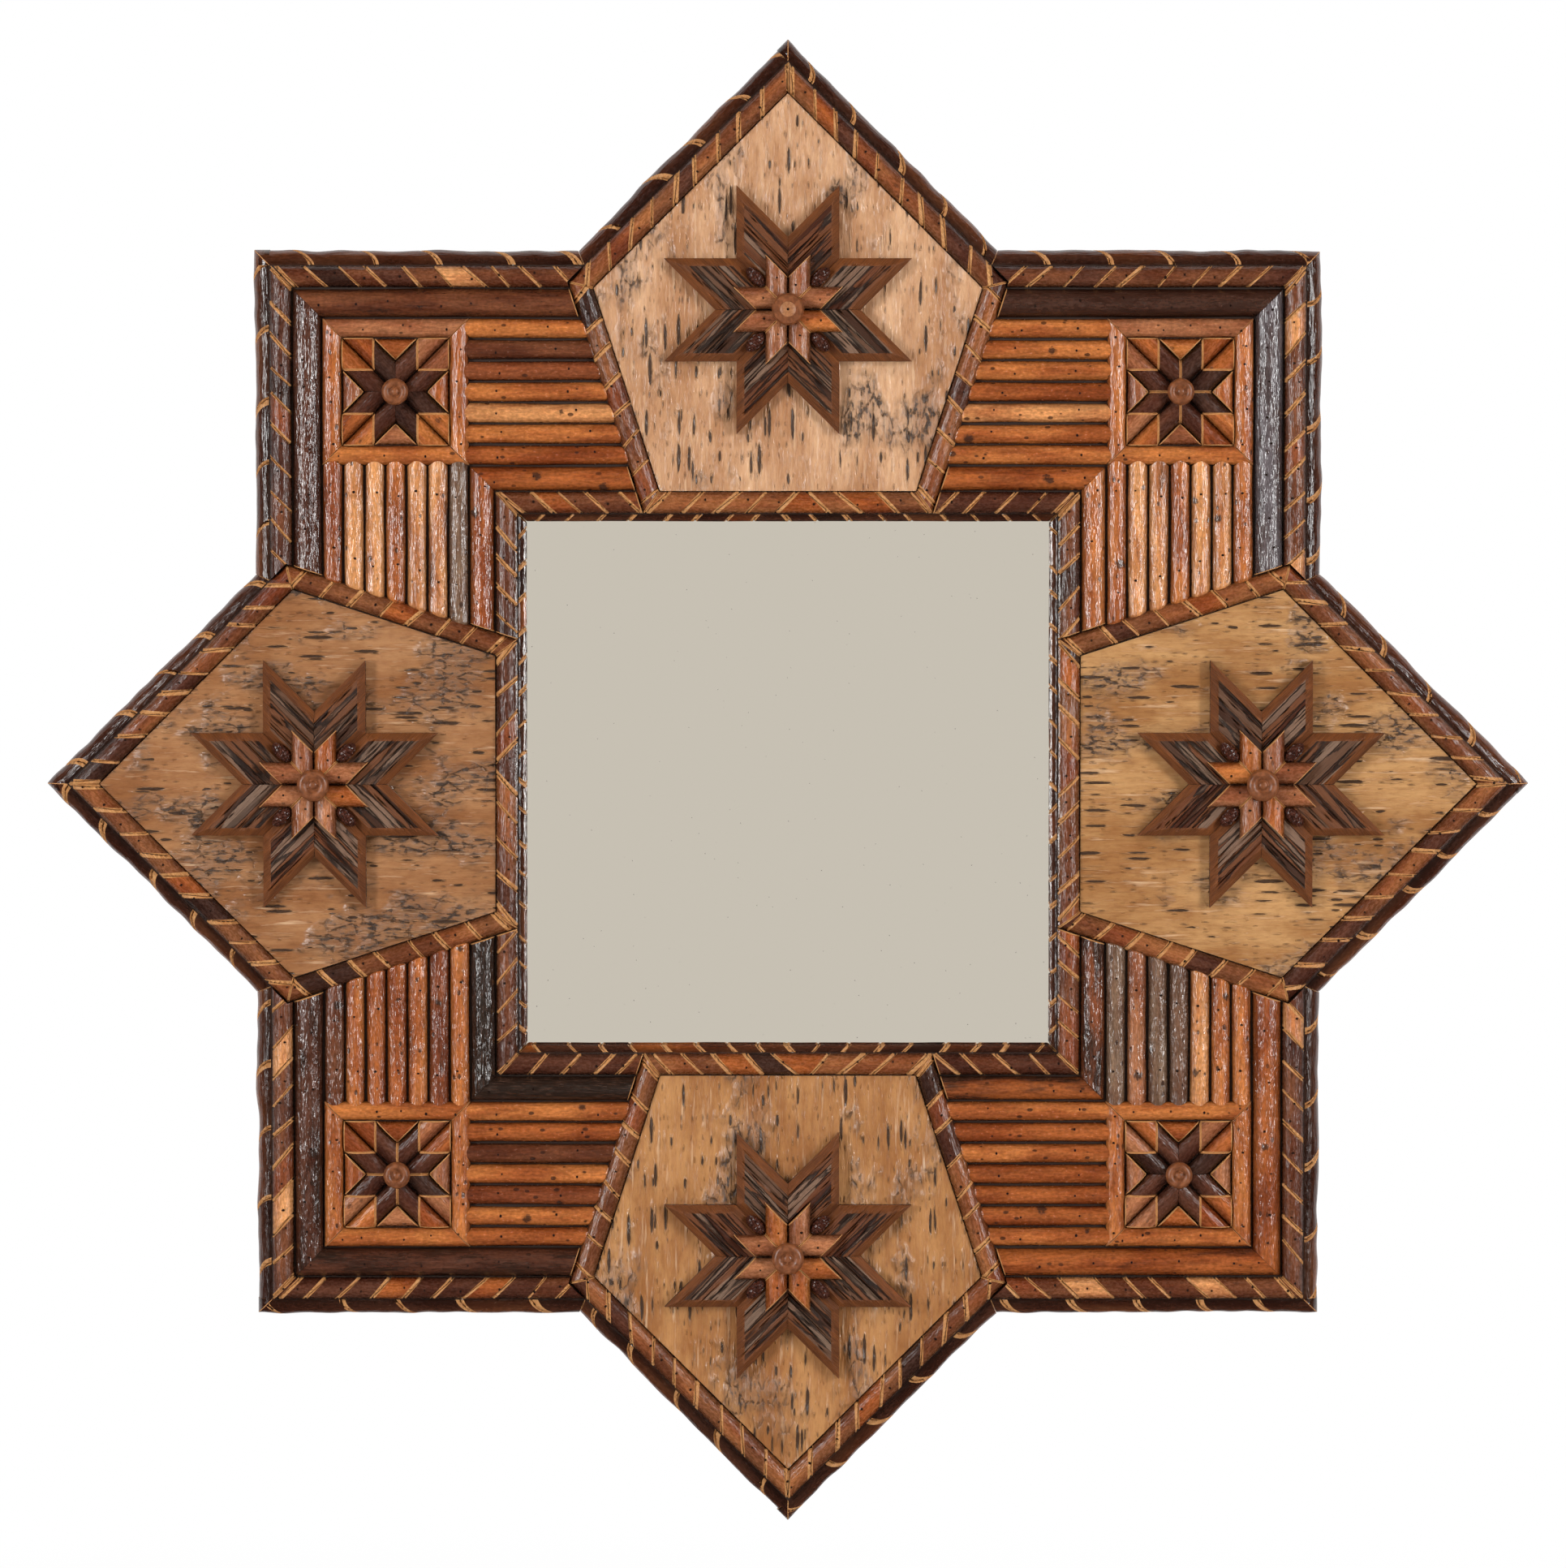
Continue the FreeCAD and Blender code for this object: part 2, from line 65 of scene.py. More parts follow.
MILLIMETRE = 0.001
STAND_UP = Matrix.Rotation(math.radians(90), 4, "X") @ Matrix.Scale(MILLIMETRE, 4)
CORNERS = ("top_left", "top_right", "bottom_right", "bottom_left")
POINTS = ("top", "right", "bottom", "left")
BODY = "mirror"
GRAIN = "grain"
TONE = "tone"
CHAR = "char"
KNOT = "knot"
# The depth and valley layers carry painted shade: at the bottom of knife cuts and fissures, and down the sides of a
# stick's arch.
DEPTH = "depth"
VALLEY = "valley"
TOUCH = 1e-4
WALL = 0.4
SHARP = math.radians(50)
TWIG_FULLNESS = 0.76
CUT_DRIFT = 0.2
ROD_BRADS = 17.6
BORDER_BRADS = 24.0
FRAME_BRADS = 18.0
DIAGONAL = Vector((-1.0, 1.0)).normalized()
COUNTER_DIAGONAL = Vector((1.0, 1.0)).normalized()
UP = Vector((0.0, 1.0))
RIGHT = Vector((1.0, 0.0))


def srgb(red: int, green: int, blue: int) -> Colour:
    """Linear colour of a screen colour given from 0 to 255.

    Args:
        red: red from 0 to 255.
        green: green from 0 to 255.
        blue: blue from 0 to 255.

    Returns:
        The opaque colour.
    """
    linear = []
    for channel in (red, green, blue):
        value = channel / 255
        linear.append(value / 12.92 if value <= 0.04045 else ((value + 0.055) / 1.055) ** 2.4)
    return (linear[0], linear[1], linear[2], 1.0)


class Tone(Enum):
    """Colours of the varnished barks and woods."""

    HONEY = srgb(190, 128, 76)
    TAN = srgb(170, 99, 47)
    RUSSET = srgb(146, 77, 33)
    UMBER = srgb(102, 57, 33)
    CHARCOAL = srgb(52, 42, 38)
    GREY = srgb(114, 88, 68)
    CHESTNUT = srgb(80, 44, 29)
    REDWOOD = srgb(122, 63, 32)
    COCOA = srgb(60, 35, 25)
    DRIFTWOOD = srgb(98, 68, 50)
    PEELED = srgb(198, 136, 84)
    FAWN = srgb(150, 94, 60)
    SLATE = srgb(86, 78, 80)
    COPPER = srgb(140, 84, 46)
    WALNUT = srgb(118, 70, 40)


class Skin(IntEnum):
    """Material slots of a sawn piece."""

    BARK = 0
    CUT = 1


class SawKind(Enum):
    """How a piece ends at a saw cut."""

    PLAIN = "plain"
    SAWN = "sawn"
    ROUNDED = "rounded"


@dataclass(frozen=True)
class StarPlan:
    """Sizes of the star in millimetres, as its solids have them."""

    square_side: float = 610.0
    point_height: float = 120.0
    overrun: float = 9.5
    foot_width: float = 165.0
    board_back: float = 8.0
    board_front: float = 27.0
    seam: float = 0.2
    edge_rise: float = 9.5
    lining_rise: float = 4.5
    lining_back: float = 13.2
    trim_width: float = 13.0
    trim_rise: float = 6.5
    border_width: float = 17.0
    border_rise: float = 7.5
    inner_border_width: float = 14.5
    inner_border_rise: float = 6.5
    twig_count: int = 7
    twig_rise: float = 5.0
    block_side: float = 84.0
    block_twig_width: float = 11.5
    block_twig_rise: float = 5.7
    mosaic_rise: float = 5.5
    sheet_thickness: float = 2.0
    star_above_foot: float = 103.0
    large_side: float = 41.5
    large_thickness: float = 10.0
    large_bevel: float = 4.5
    small_side: float = 18.5
    small_rise: float = 5.5
    cone_length: float = 13.0
    cone_diameter: float = 7.0
    panel_lap: float = 18.0
    panel_thickness: float = 3.0
    hanger_reach: float = 215.0
    hanger_level: float = 205.0
    strap_thickness: float = 1.2
    strap_first_screw: float = 19.5
    strap_pitch: float = 14.0

    @property
    def board_half(self) -> float:
        """Half the board's square."""
        return self.square_side / 2 - self.edge_rise

    @property
    def board_tip(self) -> float:
        """Tip of the board's points."""
        return self.square_side / 2 + self.point_height - self.edge_rise * math.sqrt(2)

    @property
    def notch(self) -> float:
        """Where a point leaves the square's side."""
        return self.board_tip - self.board_half

    @property
    def trim_inside(self) -> float:
        """Inner edge of the outer slender rods."""
        return self.board_half - self.trim_width

    @property
    def block_outside(self) -> float:
        """Outer edge of the corner blocks."""
        return self.trim_inside - self.border_width

    @property
    def block_inside(self) -> float:
        """Inner edge of the corner blocks."""
        return self.block_outside - self.block_side

    @property
    def block_centre(self) -> float:
        """Centre of the corner blocks."""
        return (self.block_outside + self.block_inside) / 2

    @property
    def inner_border_inside(self) -> float:
        """Inner edge of the inner broad rods."""
        return self.block_inside - self.inner_border_width

    @property
    def opening_half(self) -> float:
        """Half the opening for the glass."""
        return self.inner_border_inside - self.trim_width

    @property
    def star_centre(self) -> float:
        """Centre of a point's layered star."""
        return self.inner_border_inside + self.star_above_foot

    @property
    def large_base(self) -> float:
        """Height of the large stars' flat side."""
        return self.board_front + self.sheet_thickness

    @property
    def small_base(self) -> float:
        """Height of the small stars' flat side."""
        return self.large_base + self.large_thickness

    @property
    def mosaic_side(self) -> float:
        """Side of the corner star's petals."""
        return (self.block_side - 2 * self.block_twig_width) / (2 + math.sqrt(2))

    def point_outline(self) -> Outline:
        """Outline of the top point's frame, counter-clockwise from its tip.

        Returns:
            Five corners in the plan.
        """
        shoulder = self.notch + self.overrun
        level = self.board_tip - shoulder
        foot = self.foot_width / 2
        low = self.opening_half
        return outline_of((0.0, self.board_tip), (-shoulder, level), (-foot, low), (foot, low), (shoulder, level))

    def board_outline(self) -> Outline:
        """Outline of the whole board, counter-clockwise from the top tip.

        Returns:
            Sixteen corners in the plan.
        """
        half, notch = self.board_half, self.notch
        quarter = outline_of((0.0, self.board_tip), (-notch, half), (-half, half), (-half, notch))
        return [corner for turns in range(4) for corner in turned(quarter, -turns)]


PLAN = StarPlan()


def outline_of(*corners: tuple[float, float]) -> Outline:
    """Outline through some corners of the plan."""
    return [Vector(corner) for corner in corners]


def inset(outline: Outline, distance: float) -> Outline:
    """Counter-clockwise outline with every side moved inwards.

    Args:
        outline: corners of the outline.
        distance: how far the sides move, outwards if negative.

    Returns:
        The moved corners.
    """
    moved = []
    for index, corner in enumerate(outline):
        arriving = (corner - outline[index - 1]).normalized()
        leaving = (outline[(index + 1) % len(outline)] - corner).normalized()
        shift = Vector((-arriving.y - leaving.y, arriving.x + leaving.x))
        moved.append(corner + shift * (distance / (1 + arriving.dot(leaving))))
    return moved


def mitred_sides(outline: Outline, width: float) -> list[Outline]:
    """Mitred strips between an outline and its inset copy, one per side.

    Args:
        outline: corners of the outline.
        width: width of the strips, outwards if negative.

    Returns:
        Four corners of each strip, the outline's side first.
    """
    inner = inset(outline, width)
    count = len(outline)
    return [[outline[i], outline[(i + 1) % count], inner[(i + 1) % count], inner[i]] for i in range(count)]


def swapped(outline: Outline) -> Outline:
    """Outline mirrored in the top left corner's mitre line, kept counter-clockwise."""
    return [Vector((-corner.y, -corner.x)) for corner in reversed(outline)]


def turned(outline: Outline, quarters: int) -> Outline:
    """Outline turned clockwise about the origin by quarter turns."""
    spin = Matrix.Rotation(-math.pi / 2 * quarters, 2)
    return [spin @ corner for corner in outline]


def shifted(outline: Outline, offset: Vector) -> Outline:
    """Outline moved in the plan of the board."""
    return [corner + offset for corner in outline]


def square(half: float) -> Outline:
    """Centred square, counter-clockwise from the top left."""
    return outline_of((-half, half), (-half, -half), (half, -half), (half, half))


def quarter_turn(quarters: int) -> Matrix:
    """Clockwise turn about the star's centre by quarter turns."""
    return Matrix.Rotation(-math.pi / 2 * quarters, 4, "Z")


def wobble(x: float, y: float, z: float) -> float:
    """Smooth noise from -1 to 1 at a place."""
    return noise.noise(Vector((x, y, z)))


def fresh_seed(dice: random.Random) -> float:
    """Seed of a piece's own shape."""
    return dice.uniform(0.0, 90.0)


def bisect(bm: BMesh, point: Vector, normal: Vector, clear: bool = False) -> None:
    """Divides a mesh by a plane.

    Args:
        bm: mesh to divide.
        point: a point of the plane.
        normal: the plane's normal.
        clear: whether what lies on the normal's side goes away.
    """
    geometry = bm.verts[:] + bm.edges[:] + bm.faces[:]
    bmesh.ops.bisect_plane(bm, geom=geometry, dist=TOUCH / 10, plane_co=point, plane_no=normal, clear_outer=clear)


def lay_bare(bm: BMesh, chosen: Callable[[Vector], bool]) -> None:
    """Gives bare wood to some faces of a mesh.

    Args:
        bm: mesh of the piece.
        chosen: whether a face with a given middle is bare.
    """
    for face in bm.faces:
        if chosen(face.calc_center_median()):
            face.material_index = Skin.CUT


@dataclass(frozen=True)
class Saw:
    """Upright saw cut in the plan of the board."""

    point: Vector
    outward: Vector
    kind: SawKind = SawKind.SAWN
    undercut: float = 0.0

    def normal(self) -> Vector:
        """Normal of the cut, tilted so that the face overhangs the flat."""
        return (self.outward - Vector((0.0, 0.0, self.undercut))).normalized()

    def plain(self) -> Saw:
        """The same cut with no finish."""
        return Saw(self.point, self.outward, SawKind.PLAIN)

    def crossed(self) -> Saw:
        """The same cut on the corner's other arm."""
        return Saw(*(Vector((-part.y, -part.x, 0.0)) for part in (self.point, self.outward)))


@dataclass(frozen=True)
class KnifeCut:
    """V cut across a rod, in the plan of the board."""

    point: Vector
    across: Vector
    before: float
    after: float
    depth: float
    lean: float = 0.0

    def normal(self) -> Vector:
        """Normal of the cut's middle plane."""
        return Vector((-self.across.y, self.across.x, self.lean)).normalized()


@dataclass(frozen=True)
class Knot:
    """Swelling with dark bark round it, on a twig."""

    run: float
    arc: float
    size: float
    height: float

    def nearness(self, run: float, arc: float) -> float:
        """How near a place of the bark lies, from 0 far away to 1 on the knot."""
        return math.exp(-((run - self.run) ** 2 + (arc - self.arc) ** 2) / self.size**2)


def saws_round(outline: Outline, grain: Vector, ends: SawKind) -> list[Saw]:
    """Saw cuts along every side of a convex outline.

    Args:
        outline: corners in the plan of the board.
        grain: direction of the wood.
        ends: how the sides that cross the grain are finished.

    Returns:
        One cut per side, plain where it follows the grain.
    """
    middle = sum(outline, Vector((0.0, 0.0))) / len(outline)
    saws = []
    for index, corner in enumerate(outline):
        along = (outline[(index + 1) % len(outline)] - corner).normalized()
        outward = Vector((along.y, -along.x))
        if outward.dot(corner - middle) < 0:
            outward.negate()
        kind = SawKind.PLAIN if abs(along.dot(grain)) > 0.999 else ends
        saws.append(Saw(corner.to_3d(), outward.to_3d(), kind))
    return saws


@dataclass
class SawnPiece:
    """Piece with a shaped face, sawn to an outline. Local x follows the grain and z leaves the flat."""

    place: Matrix
    start: float
    end: float
    width: float
    rise: float
    saws: list[Saw]
    seed: float
    tones: list[Colour] = field(default_factory=lambda: [Tone.TAN.value])
    cell: float = 2.0
    rows: int = 10
    chamfer: float = 0.55
    char: float = 0.0
    cuts: list[KnifeCut] = field(default_factory=list)
    knots: list[Knot] = field(default_factory=list)
    hollow: list[Saw] = field(default_factory=list)
    foot_start: Optional[float] = None

    def __post_init__(self) -> None:
        """Keeps the way back from the plan."""
        self.local = self.place.inverted()

    def surface(self, run: float, side: float) -> Vector:
        """Point of the face, for a run from 0 to 1 and a side from -1 to 1."""
        return Vector((self.start + run * (self.end - self.start), side * self.width / 2, self.rise))

    def inward(self, point: Vector) -> Vector:
        """Direction into the wood at a point of the face."""
        return Vector((0.0, 0.0, -1.0))

    def grain_of(self, point: Vector) -> tuple[float, float]:
        """Grain coordinates of a point of the face."""
        return point.x, point.y

    def flank(self, point: Vector) -> float:
        """How far down its side a place lies, from 0 at the crest to 1."""
        return 0.0

    def facing(self, direction: Vector) -> Vector:
        """Direction of the plan in the piece's own frame."""
        return self.local.to_3x3() @ direction

    def plane(self, cut: Saw | KnifeCut) -> tuple[Vector, Vector]:
        """Point and normal of a cut in the piece's own frame."""
        return self.local @ cut.point, self.facing(cut.normal())

    def carve(self, bm: BMesh, cut: KnifeCut) -> None:
        """Makes one V cut.

        Args:
            bm: the open face.
            cut: place, direction and size of the cut.
        """
        centre, normal = self.plane(cut)
        for offset in (-cut.before, cut.after, 0.0):
            bisect(bm, centre + normal * offset, normal)
        deep = bm.verts.layers.float[DEPTH]
        for vert in bm.verts:
            if abs((vert.co - centre).dot(normal)) < TOUCH:
                vert.co += self.inward(vert.co) * cut.depth
                # The depth layer marks the cut's bottom, where the bare wood gets painted shade.
                vert[deep] = 1.0
        lay_bare(bm, lambda middle: -cut.before + TOUCH < (middle - centre).dot(normal) < cut.after - TOUCH)

    def saw(self, bm: BMesh, saw: Saw) -> None:
        """Saws the face off at a plane and finishes the edge.

        Args:
            bm: the open face.
            saw: plane and finish of the cut.
        """
        point, normal = self.plane(saw)
        bisect(bm, point, normal, clear=True)
        if saw.kind is SawKind.SAWN:
            bisect(bm, point - normal * self.chamfer, normal)
            for vert in bm.verts:
                if abs((vert.co - point).dot(normal)) < TOUCH:
                    vert.co.z = max(vert.co.z - self.chamfer, WALL)
            lay_bare(bm, lambda middle: (middle - point).dot(normal) > -self.chamfer)
        elif saw.kind is SawKind.ROUNDED:
            self.round_end(bm, point, normal)

    def round_end(self, bm: BMesh, point: Vector, normal: Vector) -> None:
        """Rounds the face down to a saw cut.

        Args:
            bm: the open face.
            point: a point of the cut.
            normal: the cut's normal.
        """
        reach = self.rise * 0.3
        for share in (0.1, 0.35, 0.65, 1.0):
            bisect(bm, point - normal * (reach * share), normal)
        for vert in bm.verts:
            near = 1 + (vert.co - point).dot(normal) / reach
            if near > 0:
                drop = math.sqrt(max(0.0, 1 - min(near, 1.0) ** 2))
                vert.co.z = WALL + (vert.co.z - WALL) * (0.78 + 0.22 * drop)
                vert.co.y *= 0.95 + 0.05 * drop
        lay_bare(bm, lambda middle: (middle - point).dot(normal) > -reach * 0.12)

    def hollow_out(self, bm: BMesh) -> None:
        """Takes away the part of the face that lies inside all the hollow's planes.

        Args:
            bm: the open face.
        """
        planes = [self.plane(saw) for saw in self.hollow]
        for point, normal in planes:
            bisect(bm, point, normal)
        inside = []
        for face in bm.faces:
            middle = face.calc_center_median()
            if all((middle - point).dot(normal) < 0 for point, normal in planes):
                inside.append(face)
        bmesh.ops.delete(bm, geom=inside, context="FACES")

    def close(self, bm: BMesh) -> None:
        """Adds the walls down to the flat and the flat itself.

        Args:
            bm: the open face.
        """
        rim = [edge for edge in bm.edges if edge.is_boundary]
        ends = [self.plane(saw) for saw in self.saws if saw.kind is SawKind.SAWN]
        grown = bmesh.ops.extrude_edge_only(bm, edges=rim)["geom"]
        leaning = [(self.plane(saw)[0], self.facing(saw.outward)) for saw in self.saws if saw.undercut]
        for vert in (item for item in grown if isinstance(item, bmesh.types.BMVert)):
            if self.foot_start is not None and vert.co.x < self.foot_start:
                vert.co.x = self.foot_start
            vert.co.z = 0.0
            for point, outward in leaning:
                vert.co -= outward * max(0.0, (vert.co - point).dot(outward))
        for wall in (item for item in grown if isinstance(item, bmesh.types.BMFace)):
            middle = wall.calc_center_median()
            sawn = any(abs((middle - point).dot(normal)) < 0.05 for point, normal in ends)
            wall.material_index = Skin.CUT if sawn else Skin.BARK
        lower = [item for item in grown if isinstance(item, bmesh.types.BMEdge)]
        bmesh.ops.holes_fill(bm, edges=[edge for edge in lower if edge.is_boundary], sides=0)
        bmesh.ops.recalc_face_normals(bm, faces=bm.faces[:])

    def paint(self, bm: BMesh) -> None:
        """Writes tones, knots and grain coordinates on the finished piece.

        Args:
            bm: the closed piece.
        """
        values = bm.verts.layers.float
        tone, char, knot, valley = bm.verts.layers.float_color[TONE], values[CHAR], values[KNOT], values[VALLEY]
        planes = [self.plane(cut) for cut in self.cuts]
        for vert in bm.verts:
            passed = sum((vert.co - point).dot(normal) > 0 for point, normal in planes)
            vert[tone] = self.tones[passed % len(self.tones)]
            vert[char] = self.char
            vert[knot] = max((mark.nearness(*self.grain_of(vert.co)) for mark in self.knots), default=0.0)
            # The valley layer carries the painted shade down the sides of a stick's arch.
            vert[valley] = self.flank(vert.co)
        grain = bm.loops.layers.uv[GRAIN]
        shift = Vector((self.seed * 0.37 % 3, self.seed * 0.61 % 2))
        for face in bm.faces:
            upright = abs(face.normal.z) < 0.05
            face.smooth = face.material_index == Skin.BARK
            for loop in face.loops:
                spot = loop.vert.co
                place = (spot.y, spot.z) if upright and face.material_index else self.grain_of(spot)
                loop[grain].uv = Vector(place) * MILLIMETRE + shift
        for edge in bm.edges:
            skins = {face.material_index for face in edge.link_faces}
            edge.smooth = len(skins) == 1 and edge.calc_face_angle(0.0) < SHARP

    def build(self, target: BMesh, turn: Matrix) -> None:
        """Makes the piece and adds it to a larger mesh.

        Args:
            target: mesh that the piece joins.
            turn: quarter turn of the corner or point that the piece belongs to.
        """
        bm = new_mesh()
        columns = max(3, round((self.end - self.start) / self.cell))
        bmesh.ops.create_grid(bm, x_segments=columns, y_segments=self.rows, size=0.5)
        for vert in bm.verts:
            vert.co = self.surface(vert.co.x + 0.5, 2 * vert.co.y)
        for cut in self.cuts:
            self.carve(bm, cut)
        for saw in self.saws:
            self.saw(bm, saw)
        if self.hollow:
            self.hollow_out(bm)
        self.close(bm)
        self.paint(bm)
        bm.transform(turn @ self.place)
        join(target, bm)


@dataclass
class SplitStick(SawnPiece):
    """Half-round stick with its own wobble, arched across the grain."""

    sway: float = 0.25
    lump: float = 0.035
    relief: float = 0.12
    bulge: float = 0.0
    fullness: float = 1.0
    lead: Optional[Callable[[float], float]] = None

    def __post_init__(self) -> None:
        """Works out the arch."""
        super().__post_init__()
        self.radius = (self.width**2 / 4 + self.rise**2) / (2 * self.rise)
        self.spread = math.acos((self.radius - self.rise) / self.radius)

    def surface(self, run: float, side: float) -> Vector:
        """Point of the arch.

        Args:
            run: share of the length, from 0 to 1.
            side: share of the half width, from -1 to 1.

        Returns:
            The point in the stick's frame.
        """
        angle = side * self.spread
        height = self.radius * math.cos(angle) - (self.radius - self.rise)
        first = self.lead(height) if self.lead else self.start
        x = first + run * (self.end - first)
        swell = 1 - self.lump + self.lump * wobble(x * 0.022, 7.7, self.seed * 2.3)
        radius = self.radius * swell + self.relief * wobble(x * 0.06, angle * 5.0, self.seed)
        for knot in self.knots:
            radius += knot.height * knot.nearness(x, self.radius * angle)
        y = radius * math.sin(angle) + self.sway * wobble(x * 0.012, 3.1, self.seed * 1.7)
        uneven = wobble(x * 0.024, 1.3, self.seed) + wobble(x * 0.075, 5.9, self.seed)
        z = self.arch(radius * math.cos(angle)) * (1 + self.bulge * (0.6 * uneven - 0.4))
        return Vector((x, y, WALL + z * (self.rise - WALL) / self.rise))

    def arch(self, level: float) -> float:
        """Height over the flat of a level over the stick's axis."""
        return self.rise * max(0.0, (level - self.radius) / self.rise + 1) ** self.fullness

    def inward(self, point: Vector) -> Vector:
        """Direction from a point of the arch to the stick's axis."""
        return Vector((0.0, -point.y, self.rise - self.radius - point.z)).normalized()

    def grain_of(self, point: Vector) -> tuple[float, float]:
        """Length along the stick and round its arch."""
        return point.x, self.radius * math.atan2(point.y, point.z + self.radius - self.rise)

    def flank(self, point: Vector) -> float:
        """How far down the arch a place lies, from 0 at the crest to 1."""
        return min(1.0, abs(self.grain_of(point)[1]) / (self.radius * self.spread))

    def spot(self, run: float, angle: float) -> Matrix:
        """Frame on the arch, with z leaving the bark, in the plan of the board.

        Args:
            run: length along the stick.
            angle: angle from the arch's crest.

        Returns:
            The frame.
        """
        lift = Vector((0.0, math.sin(angle), math.cos(angle)))
        base = Vector((run, self.radius * lift.y, self.arch(self.radius * lift.z)))
        turn = Matrix.Rotation(-angle, 4, "X")
        return self.place @ Matrix.Translation(base) @ turn


@dataclass
class BarkSheet(SawnPiece):
    """Thin sheet of bark with shallow waves and scars."""

    def surface(self, run: float, side: float) -> Vector:
        """Point of the sheet's face.

        Args:
            run: share of the length, from 0 to 1.
            side: share of the half width, from -1 to 1.

        Returns:
            The point in the sheet's frame.
        """
        point = super().surface(run, side)
        x, y = point.x, point.y
        wave = 0.45 * wobble(x * 0.02, y * 0.05, self.seed)
        crease = 0.35 * wobble(x * 0.03, y * 0.35, self.seed + 4)
        patch = wobble(x * 0.022, y * 0.03, self.seed + 9)
        scar = max(0.0, patch - 0.28) * 3.2 * wobble(x * 0.3, y * 0.3, self.seed)
        point.z += wave + crease * 0.6 + scar * 0.6 - 0.3
        return point


@dataclass
class BarkPetal(SawnPiece):
    """Thick petal of ridged bark with sawn bevels."""

    bevel: float = 4.5
    bevelled: list[Saw] = field(default_factory=list)

    def fissure(self, place: Vector) -> float:
        """Depth of the fissures at a place, from 0 to 1."""
        return max(0.0, 1 - abs(wobble(place.x * 0.016, place.y * 0.42, self.seed + 2)) / 0.13)

    def edge_distance(self, place: Vector) -> float:
        """Distance from a place to the nearest bevelled side."""
        planes = [self.plane(saw) for saw in self.bevelled]
        return min(-(place - point).dot(normal) for point, normal in planes)

    def surface(self, run: float, side: float) -> Vector:
        """Point of the petal's bark, in long ridges and fissures.

        Args:
            run: share of the length, from 0 to 1.
            side: share of the half width, from -1 to 1.

        Returns:
            The point in the petal's frame.
        """
        point = super().surface(run, side)
        broad = wobble(point.x * 0.03, point.y * 0.24, self.seed)
        fine = wobble(point.x * 0.07, point.y * 0.8, self.seed + 5)
        point.z += 0.9 * broad + 0.45 * fine - 1.3 * self.fissure(point) - 0.6
        return point

    def paint(self, bm: BMesh) -> None:
        """Adds the fissures' depth to the common layers.

        Args:
            bm: the closed piece.
        """
        super().paint(bm)
        deep = bm.verts.layers.float[DEPTH]
        for vert in bm.verts:
            if self.edge_distance(vert.co) > self.bevel:
                # The depth layer brings painted shade into the carved fissures.
                vert[deep] = self.fissure(vert.co)

    def close(self, bm: BMesh) -> None:
        """Planes the bevels before the walls are added.

        Args:
            bm: the open face.
        """
        for saw in self.bevelled:
            point, normal = self.plane(saw)
            bisect(bm, point - normal * self.bevel, normal)
        for vert in bm.verts:
            gap = self.edge_distance(vert.co)
            if gap < self.bevel + TOUCH:
                rough = 0.12 * wobble(*(vert.co * 0.9))
                vert.co.z = min(vert.co.z, self.rise - self.bevel + gap + rough)
        lay_bare(bm, lambda middle: self.edge_distance(middle) < self.bevel)
        super().close(bm)


def new_mesh() -> BMesh:
    """Empty mesh with the layers that every sawn piece has.

    Returns:
        The empty mesh.
    """
    bm = bmesh.new()
    bm.loops.layers.uv.new(GRAIN)
    bm.verts.layers.float_color.new(TONE)
    for layer in (CHAR, KNOT, DEPTH, VALLEY):
        bm.verts.layers.float.new(layer)
    return bm


def join(target: BMesh, part: BMesh) -> None:
    """Moves the geometry of one mesh into another and frees it.

    Args:
        target: mesh that grows.
        part: mesh that goes into it.
    """
    carrier = bpy.data.meshes.new("carrier")
    part.to_mesh(carrier)
    part.free()
    target.from_mesh(carrier)
    bpy.data.meshes.remove(carrier)


def link(name: str, data: bpy.types.ID) -> bpy.types.Object:
    """New object of the scene with some data.

    Args:
        name: name of the object.
        data: its mesh, lamp or camera.

    Returns:
        The new object.
    """
    obj = bpy.data.objects.new(name, data)
    bpy.context.scene.collection.objects.link(obj)
    return obj


def add_object(name: str, bm: BMesh, materials: Sequence[Material]) -> bpy.types.Object:
    """Turns a mesh into an object of the scene and frees it.

    Args:
        name: name of the object.
        bm: its mesh.
        materials: finishes, in the order of the face indices.

    Returns:
        The new object.
    """
    mesh = bpy.data.meshes.new(name)
    bm.to_mesh(mesh)
    bm.free()
    for material in materials:
        mesh.materials.append(material)
    return link(name, mesh)


def mount(name: str, bm: BMesh, materials: Sequence[Material], nodes: Sequence[str]) -> None:
    """Turns a mesh in the plan of the board into an upright piece of the mirror.

    Args:
        name: name of the piece.
        bm: mesh in millimetres, lying face up.
        materials: finishes, in the order of the face indices.
        nodes: solids that the piece stands for.
    """
    bm.transform(STAND_UP)
    piece = add_object(name, bm, materials)
    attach(piece, BODY)
    if nodes:
        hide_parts(*nodes)
    LOG.info("%s: %d faces", name, len(piece.data.polygons))


def lay_flat(outline: Outline, grain: Vector, base: float) -> tuple[Matrix, float, float, float]:
    """Frame and extent of a piece that lies flat on the board.

    Args:
        outline: corners of the piece in the plan.
        grain: direction of the wood.
        base: height of the flat.

    Returns:
        Matrix from the piece's frame to the plan, its first and last run, and its width.
    """
    across = Vector((-grain.y, grain.x))
    runs = [corner.dot(grain) for corner in outline]
    spans = [corner.dot(across) for corner in outline]
    place = Matrix((grain.to_3d(), across.to_3d(), Vector((0, 0, 1)))).transposed().to_4x4()
    place.translation = across.to_3d() * ((min(spans) + max(spans)) / 2) + Vector((0, 0, base))
    return place, min(runs), max(runs), max(spans) - min(spans)


